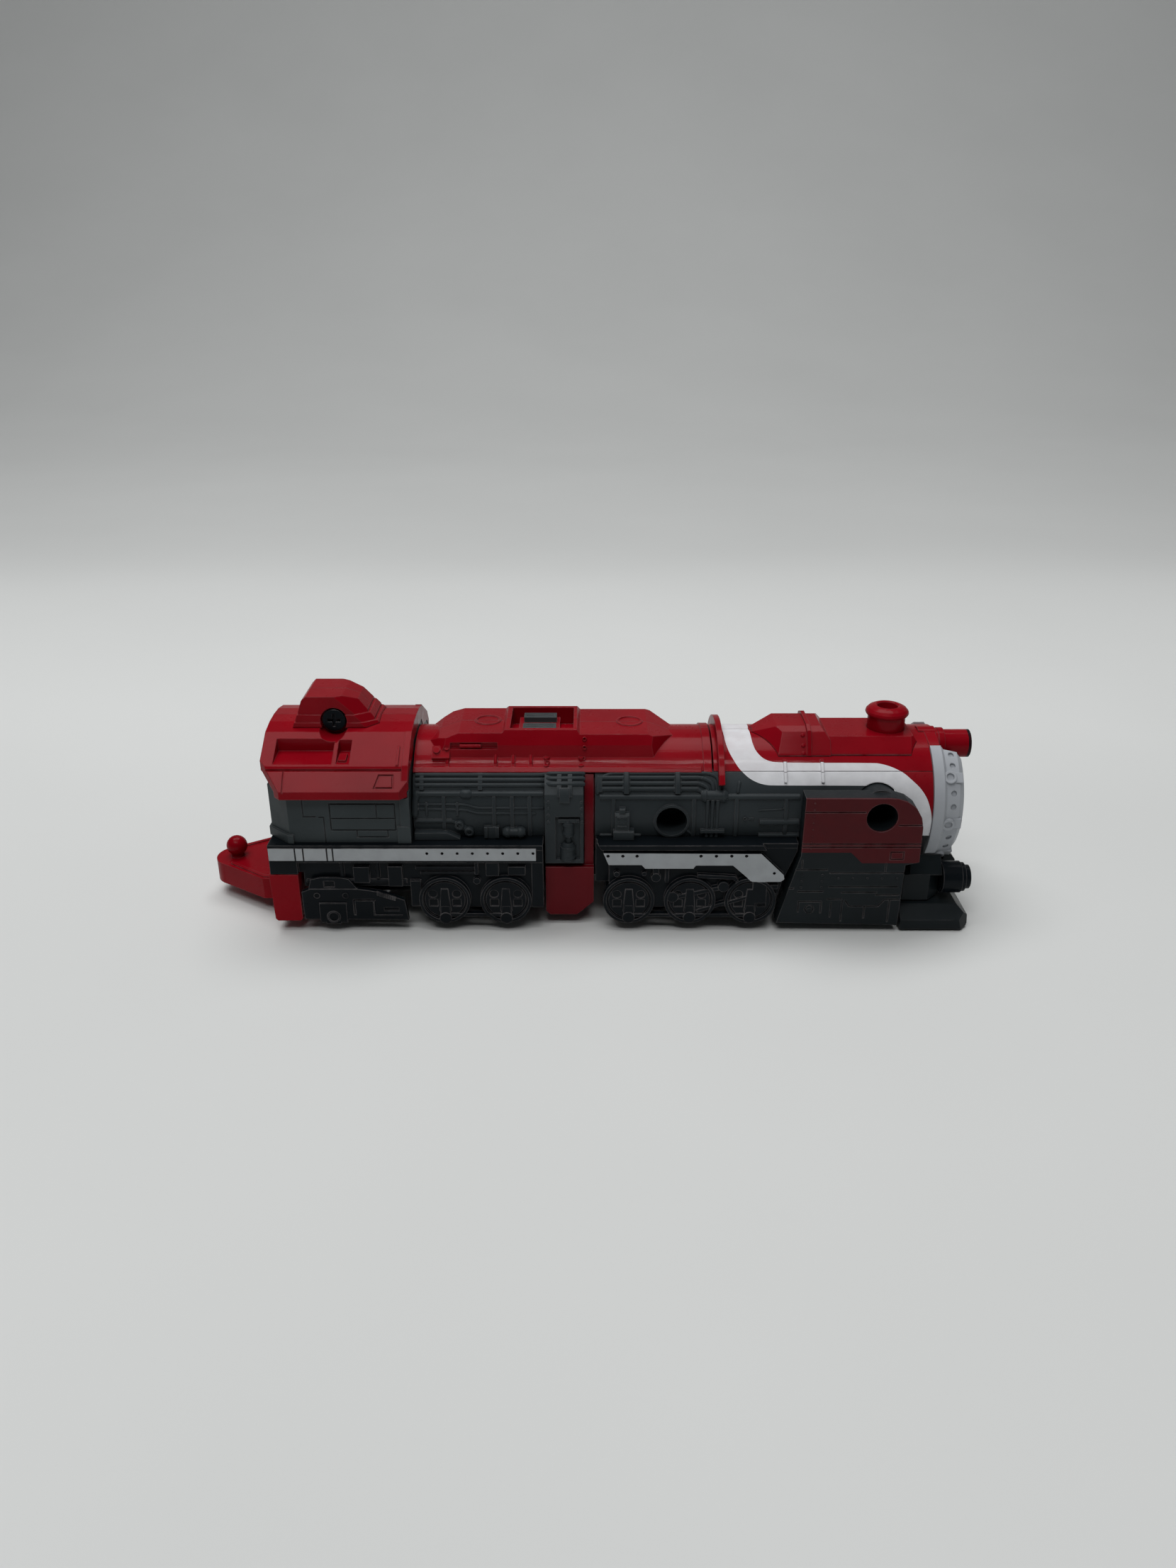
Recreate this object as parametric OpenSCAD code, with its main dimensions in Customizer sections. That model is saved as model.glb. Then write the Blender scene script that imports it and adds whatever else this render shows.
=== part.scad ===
// Toy train locomotive, about 135 mm long. Nose along +X, up is +Z, wheels stand on Z = 0.
// The right-hand side is -Y. Left-hand pieces are mirror images of the right-hand ones.

/* [Overall] */
// Distance from the middle of the body to the front of the headlamp
nose_x = 66.7; // [60:0.1:75]
// Half of the full width over the running gear
half_width = 15.5; // [14:0.1:17]
// Wall thickness of the moulded shells
wall = 1.2; // [0.8:0.1:2]

/* [Boiler] */
// Outside radius of the boiler shells
boiler_r = 12; // [10:0.1:13]
// Height of the boiler axis above the ground
boiler_z = 19.9; // [18:0.1:21]
// Height where the top shells meet the side panels
part_line_z = 27.7; // [26:0.1:29]
// Radius of the thin collar ring
collar_r = 13.7; // [13:0.1:14.5]

/* [Cab] */
// Rear end of the cab roof
roof_rear_x = -54.6; // [-58:0.1:-50]
// Front end of the cab roof
roof_front_x = -29.8; // [-33:0.1:-27]
// Height of the roof on the centre line
roof_z = 34.2; // [32:0.1:36]
// Height of the top of the roof tower
tower_z = 39.5; // [37:0.1:42]

/* [Running gear] */
// Height of the top of the footplates
footplate_z = 16.8; // [15:0.1:18]
// Radius of the moulded driving wheels
relief_r = 4.4; // [3.5:0.1:5]
// Height of the centres of the moulded driving wheels
relief_z = 6.3; // [5:0.1:7]

/* [Sockets and hitch] */
// Bore radius of the accessory sockets
socket_r = 2.6; // [2.5:0.05:2.7]
// Depth of the accessory sockets
socket_depth = 8; // [6:0.1:9]
// Radius of the hitch ball
ball_r = 1.85; // [1.5:0.05:2.2]
// Height of the middle of the hitch ball
ball_z = 9; // [8:0.1:10]
// Radius of the rounded tip of the hitch
tip_r = 3.8; // [3:0.1:4.5]

/* [Wheels and waist] */
// Radius of the rolling wheels
wheel_r = 3.2; // [2.5:0.1:4]
// Radius of the metal axles
axle_r = 0.8; // [0.5:0.05:1.2]
// Radius of the waist pin
waist_pin_r = 1.5; // [1:0.1:2]
// Position of the waist pin along the length
waist_x = -3; // [-4:0.1:-2]
// Height of the waist pin
waist_z = 7; // [6:0.1:8]
// Radial clearance of every turning fit
run_gap = 0.05; // [0.02:0.01:0.1]

/* [Hidden] */

red = [0.5, 0.06, 0.1];
dark_red = [0.32, 0.08, 0.1];
grey = [0.2, 0.22, 0.23];
black = [0.05, 0.06, 0.07];
white = [0.85, 0.86, 0.87];
steel = [0.6, 0.61, 0.62];

fine = 96;
mid = 48;
small = 24;
gap = 0.05;
cut = 0.5;

seam = 0.03;
engraving = 0.22;
line = 0.22;
boiler_in = boiler_r - wall;
cover_rear_x = -29.6;
cover_front_x = 21;
front_rear_x = 21.3;
collar_x = 22;
boiler_front_x = 58.4;
plate_out = 14.4;
plate_in = 12.6;
ledge_in = 11.3;
fascia_out = 15.3;
skirt_in = 12.1;
cab_out = 14.2;
floor_low = 6.6;
floor_top = 8.2;
lug_top = 11.2;
lug_in = 8.2;
screw_r = 0.9;
screw_head_r = 1.7;
bearing_y = 5;
wheel_in_y = 5.3;
wheel_out_y = 8.3;
axle_end_y = 8.8;
tail_axle_x = -44.05;
cab_axle_x = -19.4;
driver_axle_x = 12.2;
leading_axle_x = 45.6;
hitch_pin_x = -53;
chimney_x = 51.95;
lamp_z = 29.2;
buffer_y = 10.35;
buffer_z = 8.2;
lamp_notch = 5.5;
lamp_notch_z = 28;
ball_x = -64.2;
hitch_pin_z = 4.9;
hitch_half = 8.8;
tongue_half = 2.9;
waist_pin_half = 10.6;
rear_screw_x = [-36, -14];
front_screw_x = [8, 26, 39.5, 51];
rear_relief_x = [-24.6, -14.1];
front_relief_x = [7, 17.5, 27.9];
dome_rib_x = [33.4, 39.7];
tower_screw_x = -43.2;
tower_screw_z = 35.3;
front_socket_x = 14.2;
front_socket_z = 19.8;
front_socket_y = 12.2;
skirt_socket_x = 49;
skirt_socket_z = 22.1;

// ---- shared shapes ----

// Extrudes an outline drawn in Y and Z along X
module along_x(x0, x1) {
    translate([x0, 0, 0]) rotate([90, 0, 90]) linear_extrude(height = x1 - x0) children();
}

// Extrudes an outline drawn in X and Z along Y
module along_y(y0, y1) {
    translate([0, y1, 0]) rotate([90, 0, 0]) linear_extrude(height = y1 - y0) children();
}

// Extrudes an outline drawn in X and Y along Z
module along_z(z0, z1) {
    translate([0, 0, z0]) linear_extrude(height = z1 - z0) children();
}

module rod_x(x0, x1, y, z, r, faces = small) {
    translate([x0, y, z]) rotate([0, 90, 0]) cylinder(h = x1 - x0, r = r, $fn = faces);
}

module rod_y(y0, y1, x, z, r, faces = small) {
    translate([x, y1, z]) rotate([90, 0, 0]) cylinder(h = y1 - y0, r = r, $fn = faces);
}

module rod_z(z0, z1, x, y, r, faces = small) {
    translate([x, y, z0]) cylinder(h = z1 - z0, r = r, $fn = faces);
}

module block(x0, x1, y0, y1, z0, z1) {
    translate([x0, y0, z0]) cube([x1 - x0, y1 - y0, z1 - z0]);
}

// The left-hand twin of a right-hand piece
module twin() {
    mirror([0, 1, 0]) children();
}

// Cuts away everything beyond a plane: turn is its bearing in plan, lean tips it back from upright
module slice_off(x, y, z, turn, lean) {
    reach = 30;
    translate([x, y, z]) rotate([0, 0, turn]) rotate([0, -lean, 0])
        translate([0, -reach, -reach]) cube([reach, 2 * reach, 2 * reach]);
}

// Engraves a straight line of a given width into a side face
module groove(face_y, x0, x1, z0, z1) {
    block(x0, x1, -face_y - 1, -face_y + engraving, z0, z1);
}

// Solid boiler of the given radius
module boiler(x0, x1, r) {
    rod_x(x0, x1, 0, boiler_z, r, fine);
}

// Right-hand part of the boiler shell between two heights
module shell_right(x0, x1, z0, z1) {
    difference() {
        intersection() {
            boiler(x0, x1, boiler_r);
            block(x0, x1, -half_width, -seam, z0, z1);
        }
        boiler(x0 - cut, x1 + cut, boiler_in);
    }
}

// Half round pipe laid along the boiler side, at an angle measured from the top
module side_pipe(x0, x1, angle, r) {
    rod_x(x0, x1, -boiler_r * sin(angle), boiler_z + boiler_r * cos(angle), r);
}

// Turns a shape standing on the boiler axis towards one side
module around_boiler(turn) {
    translate([0, 0, boiler_z]) rotate([turn, 0, 0]) children();
}

// Thin band lying around the boiler side between two heights
module side_band(x, width, z0, z1) {
    difference() {
        intersection() {
            boiler(x - width / 2, x + width / 2, boiler_r + 0.35);
            block(x - width, x + width, -half_width, 0, z0, z1);
        }
        boiler(x - width, x + width, boiler_r - 0.3);
    }
}

// Moulded driving wheel on the outer face of a frame plate
module relief_wheel(x, z) {
    face = -half_width + 0.35;
    difference() {
        rod_y(-half_width + 0.05, -plate_out + 0.2, x, z, relief_r, mid);
        rod_y(-half_width - cut, face + 0.25, x, z, relief_r - 0.55, mid);
    }
    difference() {
        rod_y(face, -plate_out, x, z, relief_r - 0.95, mid);
        // openings left and right of the crank web
        for (side = [-1, 1]) {
            rod_y(face - 1, face + 0.3, x + side * 2.05, z + 1.1, 0.75);
            block(x + side * 2 - 0.75, x + side * 2 + 0.75, face - 1, face + 0.3, z - 1.3, z + 0.1);
        }
    }
    along_y(-half_width + 0.15, -plate_out) polygon([
        [x - 0.6, z + 2.2], [x + 0.6, z + 2.2], [x + 1, z - 2.2], [x - 1, z - 2.2]
    ]);
}

// Inward lug that takes a floor screw
module screw_lug(x, outer) {
    difference() {
        block(x - 2.2, x + 2.2, -outer - 0.1, -lug_in, floor_top + gap, lug_top);
        rod_z(floor_top, lug_top + cut, x, -9.9, screw_r);
    }
}

// Solid box with one sloped long side, used for pumps and boxes on the footplates
module fitting(x0, x1, y0, y1, z0, z1, lean) {
    along_x(x0, x1) polygon([[y1, z0], [y0, z0], [y0, z1 - lean], [y0 + lean, z1], [y1, z1]]);
}

// Two wheels on one axle
module wheel_pair(x) {
    for (side = [0, 1]) {
        mirror([0, side, 0]) difference() {
            union() {
                rod_y(wheel_in_y, wheel_out_y - 0.4, x, wheel_r, wheel_r, mid);
                rod_y(wheel_in_y - 0.2, wheel_out_y, x, wheel_r, 1.6);
            }
            rod_y(wheel_in_y - 1, wheel_out_y + 1, x, wheel_r, axle_r);
        }
    }
}

module axle(x) {
    rod_y(-axle_end_y, axle_end_y, x, wheel_r, axle_r);
}

// Block under a floor that an axle turns in
module axle_bearing(x) {
    difference() {
        block(x - 2.4, x + 2.4, -bearing_y, bearing_y, 1.5, floor_low + 0.1);
        rod_y(-bearing_y - cut, bearing_y + cut, x, wheel_r, axle_r + run_gap);
    }
}

module floor_screw(x, y) {
    rod_z(floor_low - 1, floor_low - gap, x, y, screw_head_r);
    rod_z(floor_low - 0.5, lug_top - 0.4, x, y, screw_r);
}

module screw_holes(xs) {
    for (x = xs, side = [-1, 1]) {
        rod_z(floor_low - cut, floor_top + cut, x, side * 9.9, screw_r + 0.15);
    }
}

// ---- cab ----

// Roof outline of the right half, pulled in by an inset
module roof_outline(y_end, crown, eave) {
    polygon([
        [-y_end, crown + 0.5], [-3.2, crown + 0.35], [-6.5, crown - 0.3], [-12.6, crown - 4],
        [-13, crown - 4.6],
        [-half_width + eave, crown - 7.4], [-half_width + eave, crown - 8.8], [-y_end, crown - 8.8]
    ]);
}

module cab_roof_half() {
    color(red) difference() {
        along_x(roof_rear_x, roof_front_x) difference() {
            roof_outline(seam, roof_z, 0);
            polygon([
                [1, roof_z - 2.2], [-5.2, roof_z - 2.4], [-6.6, roof_z - 4.2], [-11.9, roof_z - 5.2],
                [-14.3, roof_z - 7.8], [-14.3, roof_z - 10], [1, roof_z - 10]
            ]);
        }
        // rear corner cut off in plan, and a short one at the front
        slice_off(roof_rear_x, -11.6, roof_z, -138, 0);
        slice_off(roof_front_x, -half_width + 1.4, roof_z, -45, 0);
        // pocket with a level floor, behind the rib
        along_x(-52.4, -42.6) polygon([[-7.7, 34], [-7.7, 30.95], [-12.7, 30.35], [-12.9, 31.5], [-9, 34]]);
        along_x(-41.9, -39.7) polygon([[-7.9, 34], [-7.9, 30.95], [-12.7, 30.35], [-12.9, 31.5], [-9, 34]]);
        // groove above the eave band
        block(roof_rear_x - 1, roof_front_x + 1, -13.15, -12.75, roof_z - 4.75, roof_z - 4.4);
        // four cornered frame in the eave band
        translate([-33.6, -14.25, 28.2]) rotate([48, 0, 0]) difference() {
            along_z(-0.25, 1) polygon([[-1.9, -1.3], [-1.1, 1.2], [1.4, 1.2], [1.5, -1.3]]);
            along_z(-1, 0.1) polygon([[-1.5, -1], [-0.85, 0.9], [1.1, 0.9], [1.2, -1]]);
        }
        // upright joint line near the rear of the eave band
        translate([-50.6, -14.25, 28.2]) rotate([48, 0, 0]) block(0, line, -2.3, 2, -0.2, 1);
        // round recess below the tower screw
        rod_y(-9.6, -3.4, tower_screw_x, tower_screw_z - 0.1, 2.6, mid);
        rod_y(-4, 1, tower_screw_x, tower_screw_z, screw_r + 0.3);
    }
    // small block standing in the front pocket
    color(red) along_x(-41.6, -40.3) polygon([[-9.4, 30.4], [-11.6, 30.2], [-11.6, 30.9], [-9.6, 31.3]]);
    // raised rim around the front edge
    color(red) along_x(roof_front_x - 1.1, roof_front_x) polygon([
        [-6.4, roof_z - 0.6], [-6.4, roof_z - 0.15], [-12.7, roof_z - 3.8], [-13.1, roof_z - 4.4],
        [-14.2, roof_z - 5.9], [-14.2, roof_z - 6.4]
    ]);
    color(red) along_x(-31.9, -31.5) polygon([[-9.2, 31.9], [-9.2, 32.5], [-12.6, 30.5], [-12.6, 29.9]]);
}

module cab_roof_right() {
    cab_roof_half();
}

module cab_roof_left() {
    twin() cab_roof_half();
}

// One of the three stacked tiers of the tower, right half; tier 0 is the top one
module tower_tier(tier) {
    low = [36.3, 35, roof_z - 0.5][tier];
    top = [tower_z, 36.35, 35.05][tier];
    side = 4.7 + 0.3 * tier;
    rear = -49.2 - 0.5 * tier;
    front = -37.6 + 1.15 * tier;
    foot = low + 0.45;
    difference() {
        block(rear, front, -side, -seam, low, top);
        slice_off(rear, 0, foot, 180, 19);
        slice_off(front, 0, foot, 0, 40);
        slice_off(front - 0.8, -side + 1, foot, -58, 30);
        if (tier == 0) {
            slice_off(-48.4, 0, 38.9, 180, 45);
            slice_off(-41.7, 0, tower_z, 0, 71);
            slice_off(0, -2.3, tower_z, -90, 60.5);
        }
    }
}

module tower_half(screw_hole) {
    color(red) difference() {
        for (tier = [0, 1, 2]) {
            tower_tier(tier);
        }
        rod_y(-9, -3.7, tower_screw_x, tower_screw_z, 2.25, mid);
        rod_y(-4, 1, tower_screw_x, tower_screw_z, screw_hole);
        // keeps clear of the roof crown below
        along_x(-52, -34) polygon([
            [1, roof_z + 0.55], [1, roof_z - 4], [-13, roof_z - 4], [-12.6, roof_z - 3.95],
            [-6.5, roof_z - 0.25], [-3.2, roof_z + 0.4]
        ]);
    }
}

module roof_tower_right() {
    tower_half(screw_r + 0.15);
}

module roof_tower_left() {
    color(red) union() {
        twin() tower_half(screw_r);
        rod_y(3.75, 4.9, tower_screw_x, tower_screw_z, 2.25, mid);
    }
}

module tower_screw() {
    color(black) difference() {
        union() {
            rod_y(-4.7, -3.75, tower_screw_x, tower_screw_z, 1.95, mid);
            rod_y(-4, 3.4, tower_screw_x, tower_screw_z, screw_r);
        }
        block(tower_screw_x - 1.1, tower_screw_x + 1.1, -5, -4.1, tower_screw_z - 0.25, tower_screw_z + 0.25);
        block(tower_screw_x - 0.25, tower_screw_x + 0.25, -5, -4.1, tower_screw_z - 1.1, tower_screw_z + 1.1);
    }
}

// Engraved frame of a window or panel on the cab side
module engraved_frame(x0, x1, z0, z1, width) {
    difference() {
        block(x0, x1, -cab_out - cut, -cab_out + 0.3, z0, z1);
        block(x0 + width, x1 - width, -cab_out - 1, -cab_out + 1, z0 + width, z1 - width);
    }
}

module cab_side_half() {
    rear = -54.1;
    front = roof_front_x;
    base = footplate_z + gap;
    color(grey) difference() {
        union() {
            along_z(base, 26.2) polygon([
                [front, -cab_out], [-50.3, -cab_out], [rear, -10.8], [rear, -8.2], [rear + wall, -8.2],
                [rear + wall, -10.3], [-49.9, -cab_out + wall], [front, -cab_out + wall]
            ]);
            // flared foot of the rear column
            along_z(base, 18.4) polygon([
                [-49.6, -cab_out - 0.5], [-50.5, -cab_out - 0.5], [rear - 0.4, -11], [rear - 0.4, -9],
                [rear + 0.5, -9], [rear + 0.5, -10.6], [-50.1, -cab_out + 0.4], [-49.6, -cab_out + 0.4]
            ]);
            // foot and pipe elbow at the front edge
            block(-32, front, -cab_out - 0.4, -cab_out + 0.4, base, 20);
            block(-31.4, front, -cab_out - 0.3, -cab_out + 0.4, base, 25.2);
        }
        // window in three panes, with a tab below it
        engraved_frame(-43.3, -32.2, 19.1, 24.2, line);
        groove(cab_out, -43.3, -32.2, 21.3, 21.3 + line);
        groove(cab_out, -35.5, -35.5 + line, 21.3, 24.2);
        groove(cab_out, -39, -39 + line, 17.8, 19.2);
        groove(cab_out, -33.8, -33.8 + line, 17.8, 19.2);
        groove(cab_out, -39, -33.6, 17.8, 17.8 + line);
        // stepped joint line and a corner behind the window
        groove(cab_out, -44.4, -44.4 + line, footplate_z, 21.6);
        groove(cab_out, -45.2, -44.2, 21.5, 21.5 + line);
        groove(cab_out, -47.8, -47.8 + line, 21.6, 24.8);
        groove(cab_out, -47.8, -45.6, 21.6, 21.6 + line);
    }
}

module cab_side_right() {
    cab_side_half();
}

module cab_side_left() {
    twin() cab_side_half();
}

// Outline of the cab walls, a little below the inside of the roof
module cab_inside_outline() {
    for (side = [0, 1]) {
        mirror([side, 0]) polygon([
            [-1, footplate_z + gap], [12.9, footplate_z + gap], [12.9, roof_z - 6.7],
            [11.9, roof_z - 5.3], [6.7, roof_z - 4.35], [5.3, roof_z - 2.65], [-1, roof_z - 2.65]
        ]);
    }
}

module cab_rear_wall() {
    rear_wall_half = 8.1;
    color(grey) difference() {
        along_x(-54.1, -52.9) intersection() {
            translate([-rear_wall_half, 0]) square([2 * rear_wall_half, roof_z]);
            cab_inside_outline();
        }
        block(-55, -53.8, -4, 4, 20.5, 30);
        for (side = [-1, 1]) {
            block(-55, -53.8, side * 6 - 1, side * 6 + 1, 24, 29);
        }
    }
}

module cab_front_wall() {
    color(grey) along_x(-31, -29.9) cab_inside_outline();
}

// ---- rear section ----

// Side view of the raised ridge on the rear cover
module cover_ridge_profile() {
    polygon([
        [-27.4, 29], [-27.4, 31.2], [-25.6, 32.2], [-22, 33.5], [-14.6, 33.5], [-14.1, 34], [-1.9, 34],
        [-1.4, 33.3], [10.2, 33.3], [14.6, 31.7], [14.6, 29]
    ]);
}

module boiler_cover_half() {
    color(red) difference() {
        union() {
            shell_right(cover_rear_x, cover_front_x, part_line_z + gap, 40);
            // ridge, kept outside the inner wall
            difference() {
                intersection() {
                    along_y(-8, -seam) cover_ridge_profile();
                    along_x(-28, 15) polygon([
                        [-seam, 28.5], [-7.3, 28.5], [-6.9, 31.6], [-6.2, 33], [-5.6, 34.1], [-seam, 34.1]
                    ]);
                    difference() {
                        block(-28, 15, -8, -seam, 28, 35);
                        slice_off(11, -6.9, 31, -40, 12);
                        slice_off(-26, -5.4, 31, -140, 25);
                        // channel in the flank towards the cab
                        block(-23.4, -15.4, -9, -6.3, 30.9, 32);
                    }
                }
                boiler(-29, 16, boiler_in);
            }
            // thick lower lip
            intersection() {
                difference() {
                    boiler(cover_rear_x, 19.2, boiler_r + 0.35);
                    boiler(cover_rear_x - 1, 20, boiler_r - 0.4);
                }
                block(cover_rear_x, 19.2, -10, -8, part_line_z + gap, part_line_z + 0.75);
            }
            // ribs across the shell
            for (x = [-24.2, -16, -13, -10]) {
                intersection() {
                    difference() {
                        boiler(x, x + 0.6, boiler_r + 0.25);
                        boiler(x - 1, x + 2, boiler_r - 0.4);
                    }
                    block(x, x + 0.6, -9.4, -6.7, part_line_z + gap, 30.6);
                }
            }
            // rings on the ridge top
            for (x = [-17.4, 7.2]) {
                intersection() {
                    difference() {
                        rod_z(33, x < 0 ? 33.65 : 33.45, x, 0, 2.3, mid);
                        rod_z(32, 35, x, 0, 1.9, mid);
                    }
                    block(x - 3, x + 3, -3, -seam, 32, 35);
                }
            }
            // raised clasp boxes on the shell
            for (x = [-7.1, -1.2], y = [-8.5, -7.4]) {
                rod_z(28, boiler_z + sqrt(boiler_r * boiler_r - y * y) + 0.35, x, y, 0.45);
            }
            // bracket with two bosses at the cab end
            translate([-25, -6.9, 30.2]) rotate([38, 0, 0]) union() {
                block(-1.5, 1.5, -1.2, 1.2, -0.6, 0.4);
                rod_z(-0.3, 0.8, -0.7, 0.2, 0.6);
                rod_z(-0.3, 0.8, 1, 0.6, 0.45);
            }
            // rounded bar in the channel beside the ridge
            rod_x(-21.8, -18.2, -6.6, 31.4, 0.35);
            // stepped end bead near the collar
            intersection() {
                difference() {
                    boiler(19.6, cover_front_x, boiler_r + 0.25);
                    boiler(19, 22, boiler_r - 0.4);
                }
                block(19.6, cover_front_x, -10, -seam, part_line_z + gap, 33);
            }
        }
        // window pocket down to the shell
        difference() {
            block(-13.3, -2.5, -4.9, 1, 29, 40);
            boiler(-14, -2, boiler_r);
        }
    }
}

module boiler_cover_right() {
    boiler_cover_half();
}

module boiler_cover_left() {
    twin() boiler_cover_half();
}

module latch_insert() {
    color(grey) {
        difference() {
            block(-12, -4.9, -4, 4, 31, 32.5);
            boiler(-13, -4, boiler_r + gap);
        }
        for (side = [-1, 1]) {
            difference() {
                block(-11.2, -5.5, side * 2.5 - 1.1, side * 2.5 + 1.1, 32.3, 33.5);
                for (slot_y = [-0.35, 0.35]) {
                    block(-10.8, -5.9, side * 2.5 + slot_y - 0.12, side * 2.5 + slot_y + 0.12, 33.3, 34);
                }
            }
        }
    }
}

module rear_side_panel_half() {
    base = footplate_z + gap;
    rear = cover_rear_x + 0.4;
    panel_x = -7.3;
    panel_face = 13.1;
    color(grey) difference() {
        union() {
            shell_right(cover_rear_x, -7.4, base, part_line_z);
            // rails, the long pipe and the low pipe
            for (angle = [52, 56.2, 60.4]) {
                side_pipe(rear, -7.5, angle, 0.38);
            }
            side_pipe(rear, -7.5, 67.5, 0.5);
            side_pipe(rear, -23.1, 90, 0.38);
            // upright bars and rail clamps
            for (x = [-24.4, -15.9, -12.85, -9.9]) {
                side_band(x, 0.6, base, 24.2);
            }
            for (x = [-28.1, -18.2]) {
                side_band(x, 0.7, 25.2, part_line_z);
            }
            // low box with a sloped front end
            along_y(-13.3, -11) polygon([
                [-29.4, base], [-29.4, 18.2], [-23.9, 18.2], [-21.7, 17.1], [-21.7, base]
            ]);
            // clamp box and barrel in front of it
            block(-17.6, -15.1, -12.7, -11, base, 19);
            rod_x(-13.8, -11.3, -12.3, 17.9, 0.85);
            // upright panel beside the waist
            block(panel_x, -0.75, -panel_face, -11.9, 12.3, 24.5);
            difference() {
                along_x(panel_x, -0.75) polygon([
                    [-13.1, 24.4], [-11.9, 24.4], [-11.4, 23.6], [-8, part_line_z], [-10.2, part_line_z],
                    [-12, 26.6], [-13.1, 25.2]
                ]);
                boiler(-8, 0, boiler_r - 0.6);
            }
        }
        // pump recess in the upright panel
        block(-5.5, -1.3, -14, -12.5, 13, 21.1);
    }
    color(grey) {
        // pump: barrel, neck, cylinder and crosshead
        rod_z(13.1, 15.6, -3.5, -12.75, 1.3);
        rod_z(15.4, 17.6, -3.3, -12.6, 0.5);
        rod_z(17.5, 20, -3.3, -12.7, 0.95);
        block(-5, -1.5, -13.3, -12.4, 20.1, 20.7);
        for (x = [-6.7, -1.05], z = [20.2, 21.45, 22.7, 23.9]) {
            rod_y(-panel_face - 0.15, -panel_face + 0.2, x, z, 0.28);
        }
    }
}

module rear_side_panel_right() {
    rear_side_panel_half();
}

module rear_side_panel_left() {
    twin() rear_side_panel_half();
}

module rear_frame_half() {
    color(black) difference() {
        union() {
            along_y(-plate_out, -plate_in) polygon([
                [-54.1, 11.3], [-54.1, footplate_z], [-7.6, footplate_z], [-7.6, 4.5], [-30.4, 4.5],
                [-30.4, 8.6], [-48.6, 8.6], [-48.6, 11.3]
            ]);
            // footplate ledge and its raised stripe
            block(-54.1, -7.6, -fascia_out, -ledge_in, 15.9, footplate_z);
            block(-54.1, -7.6, -fascia_out + 0.1, -plate_out + 0.2, 13.5, 16.6);
            block(-54, -8.8, -half_width + 0.05, -fascia_out + 0.3, 14, 16.3);
            // band above the foot
            block(-54.1, -49.4, -fascia_out + 0.1, -plate_out + 0.2, 11.3, 13.8);
            for (x = rear_relief_x) {
                relief_wheel(x, relief_z);
            }
            for (x = rear_relief_x) {
                crank_cap(x, 2.8);
            }
            // coupling rod
            block(-24.6, -14.1, -half_width + 0.1, -plate_out, 3.1, 3.7);
            // boxes and pipes hanging below the footplate
            block(-40, -37.3, -15.1, -plate_out + 0.2, 9.6, 12.6);
            block(-34.1, -31.7, -15.1, -plate_out + 0.2, 8.9, 12.7);
            for (x = [-42, -35.9]) {
                rod_z(10.4, 13.4, x, -14.55, 0.35);
            }
            rod_x(-48.2, -31, -14.35, 9.6, 0.4);
            rod_x(-29.4, -19.2, -14.5, 12.2, 0.35);
            rod_x(-28.6, -19.2, -14.5, 11.2, 0.3);
            // framed hanger over the last wheel
            block(-19.3, -18.7, -15.1, -plate_out + 0.2, 11.2, 13.4);
            block(-17.4, -15.2, -15.1, -plate_out + 0.2, 10.9, 13.4);
            block(-13.6, -10.7, -15, -plate_out + 0.2, 11, 12.6);
            // stepped post behind the bogie and the plain end plate
            block(-30.4, -28.6, -15, -plate_out + 0.2, 5, 9.9);
            block(-9.6, -7.6, -15.1, -plate_out + 0.2, 4.8, 13.6);
            rod_y(-15.1, -plate_out, -19, 9.9, 0.6);
            for (x = rear_screw_x) {
                screw_lug(x, plate_in);
            }
        }
        // grooves in the stripe
        for (x = [-49.5, -48.1, -44.1, -43.1]) {
            block(x - 0.12, x + 0.12, -half_width - 1, -half_width + 0.25, 13.9, 16.4);
        }
        // row of rivet holes in the front half of the stripe
        for (hole = [0:7]) {
            rod_y(-half_width - 1, -half_width + 0.4, -27.2 + hole * 2.56, 15.4, 0.25);
        }
    }
}

module rear_frame_right() {
    rear_frame_half();
}

module rear_frame_left() {
    twin() rear_frame_half();
}

module bogie_panel_half() {
    color(black) difference() {
        union() {
            along_y(-15.4, -plate_out - gap) polygon([
                [-49, 2.6], [-49.1, 7.9], [-47.6, 8.5], [-39.4, 8.5], [-35.7, 7.9], [-31.5, 6.3], [-31, 2.4]
            ]);
            along_y(-15.3, -14.9) polygon([
                [-48, 8], [-47.4, 10.3], [-45.6, 10.7], [-42.8, 10.7], [-40.9, 10.4], [-39.2, 8]
            ]);
            // axle bracket with its boss
            along_y(-half_width, -15) polygon([[-46, 5.8], [-45.3, 1.7], [-42.8, 1.7], [-41.5, 5.8]]);
            rod_y(-half_width, -15, tail_axle_x, 3.2, 1.5);
            // backing that ties the panel to the frame plate
            block(-47.6, -41, -plate_out - gap - 0.2, -12.7, 4, 8.5);
        }
        engraved_bogie_lines();
    }
}

// Fine engraved lines on the bogie panel
module engraved_bogie_lines() {
    block(-40.4, -36.6, -16, -15.15, 6.2, 6.5);
    block(-40.4, -40.1, -16, -15.15, 3.4, 6.5);
    block(-35.2, -32.6, -16, -15.1, 4.2, 4.9);
    block(-45.2, -43.4, -16, -15, 8.8, 10);
}

module bogie_panel_right() {
    bogie_panel_half();
}

module bogie_panel_left() {
    twin() bogie_panel_half();
}

module rear_foot_half() {
    color(red) difference() {
        along_y(-15.3, -hitch_half - 0.3) polygon([
            [-54.4, 11.2], [-49.4, 11.2], [-49.4, 2.6], [-49.8, 2.2], [-53.7, 2.2], [-54.1, 2.6]
        ]);
        rod_y(-11.2, -hitch_half, hitch_pin_x, hitch_pin_z, 1);
    }
}

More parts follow.
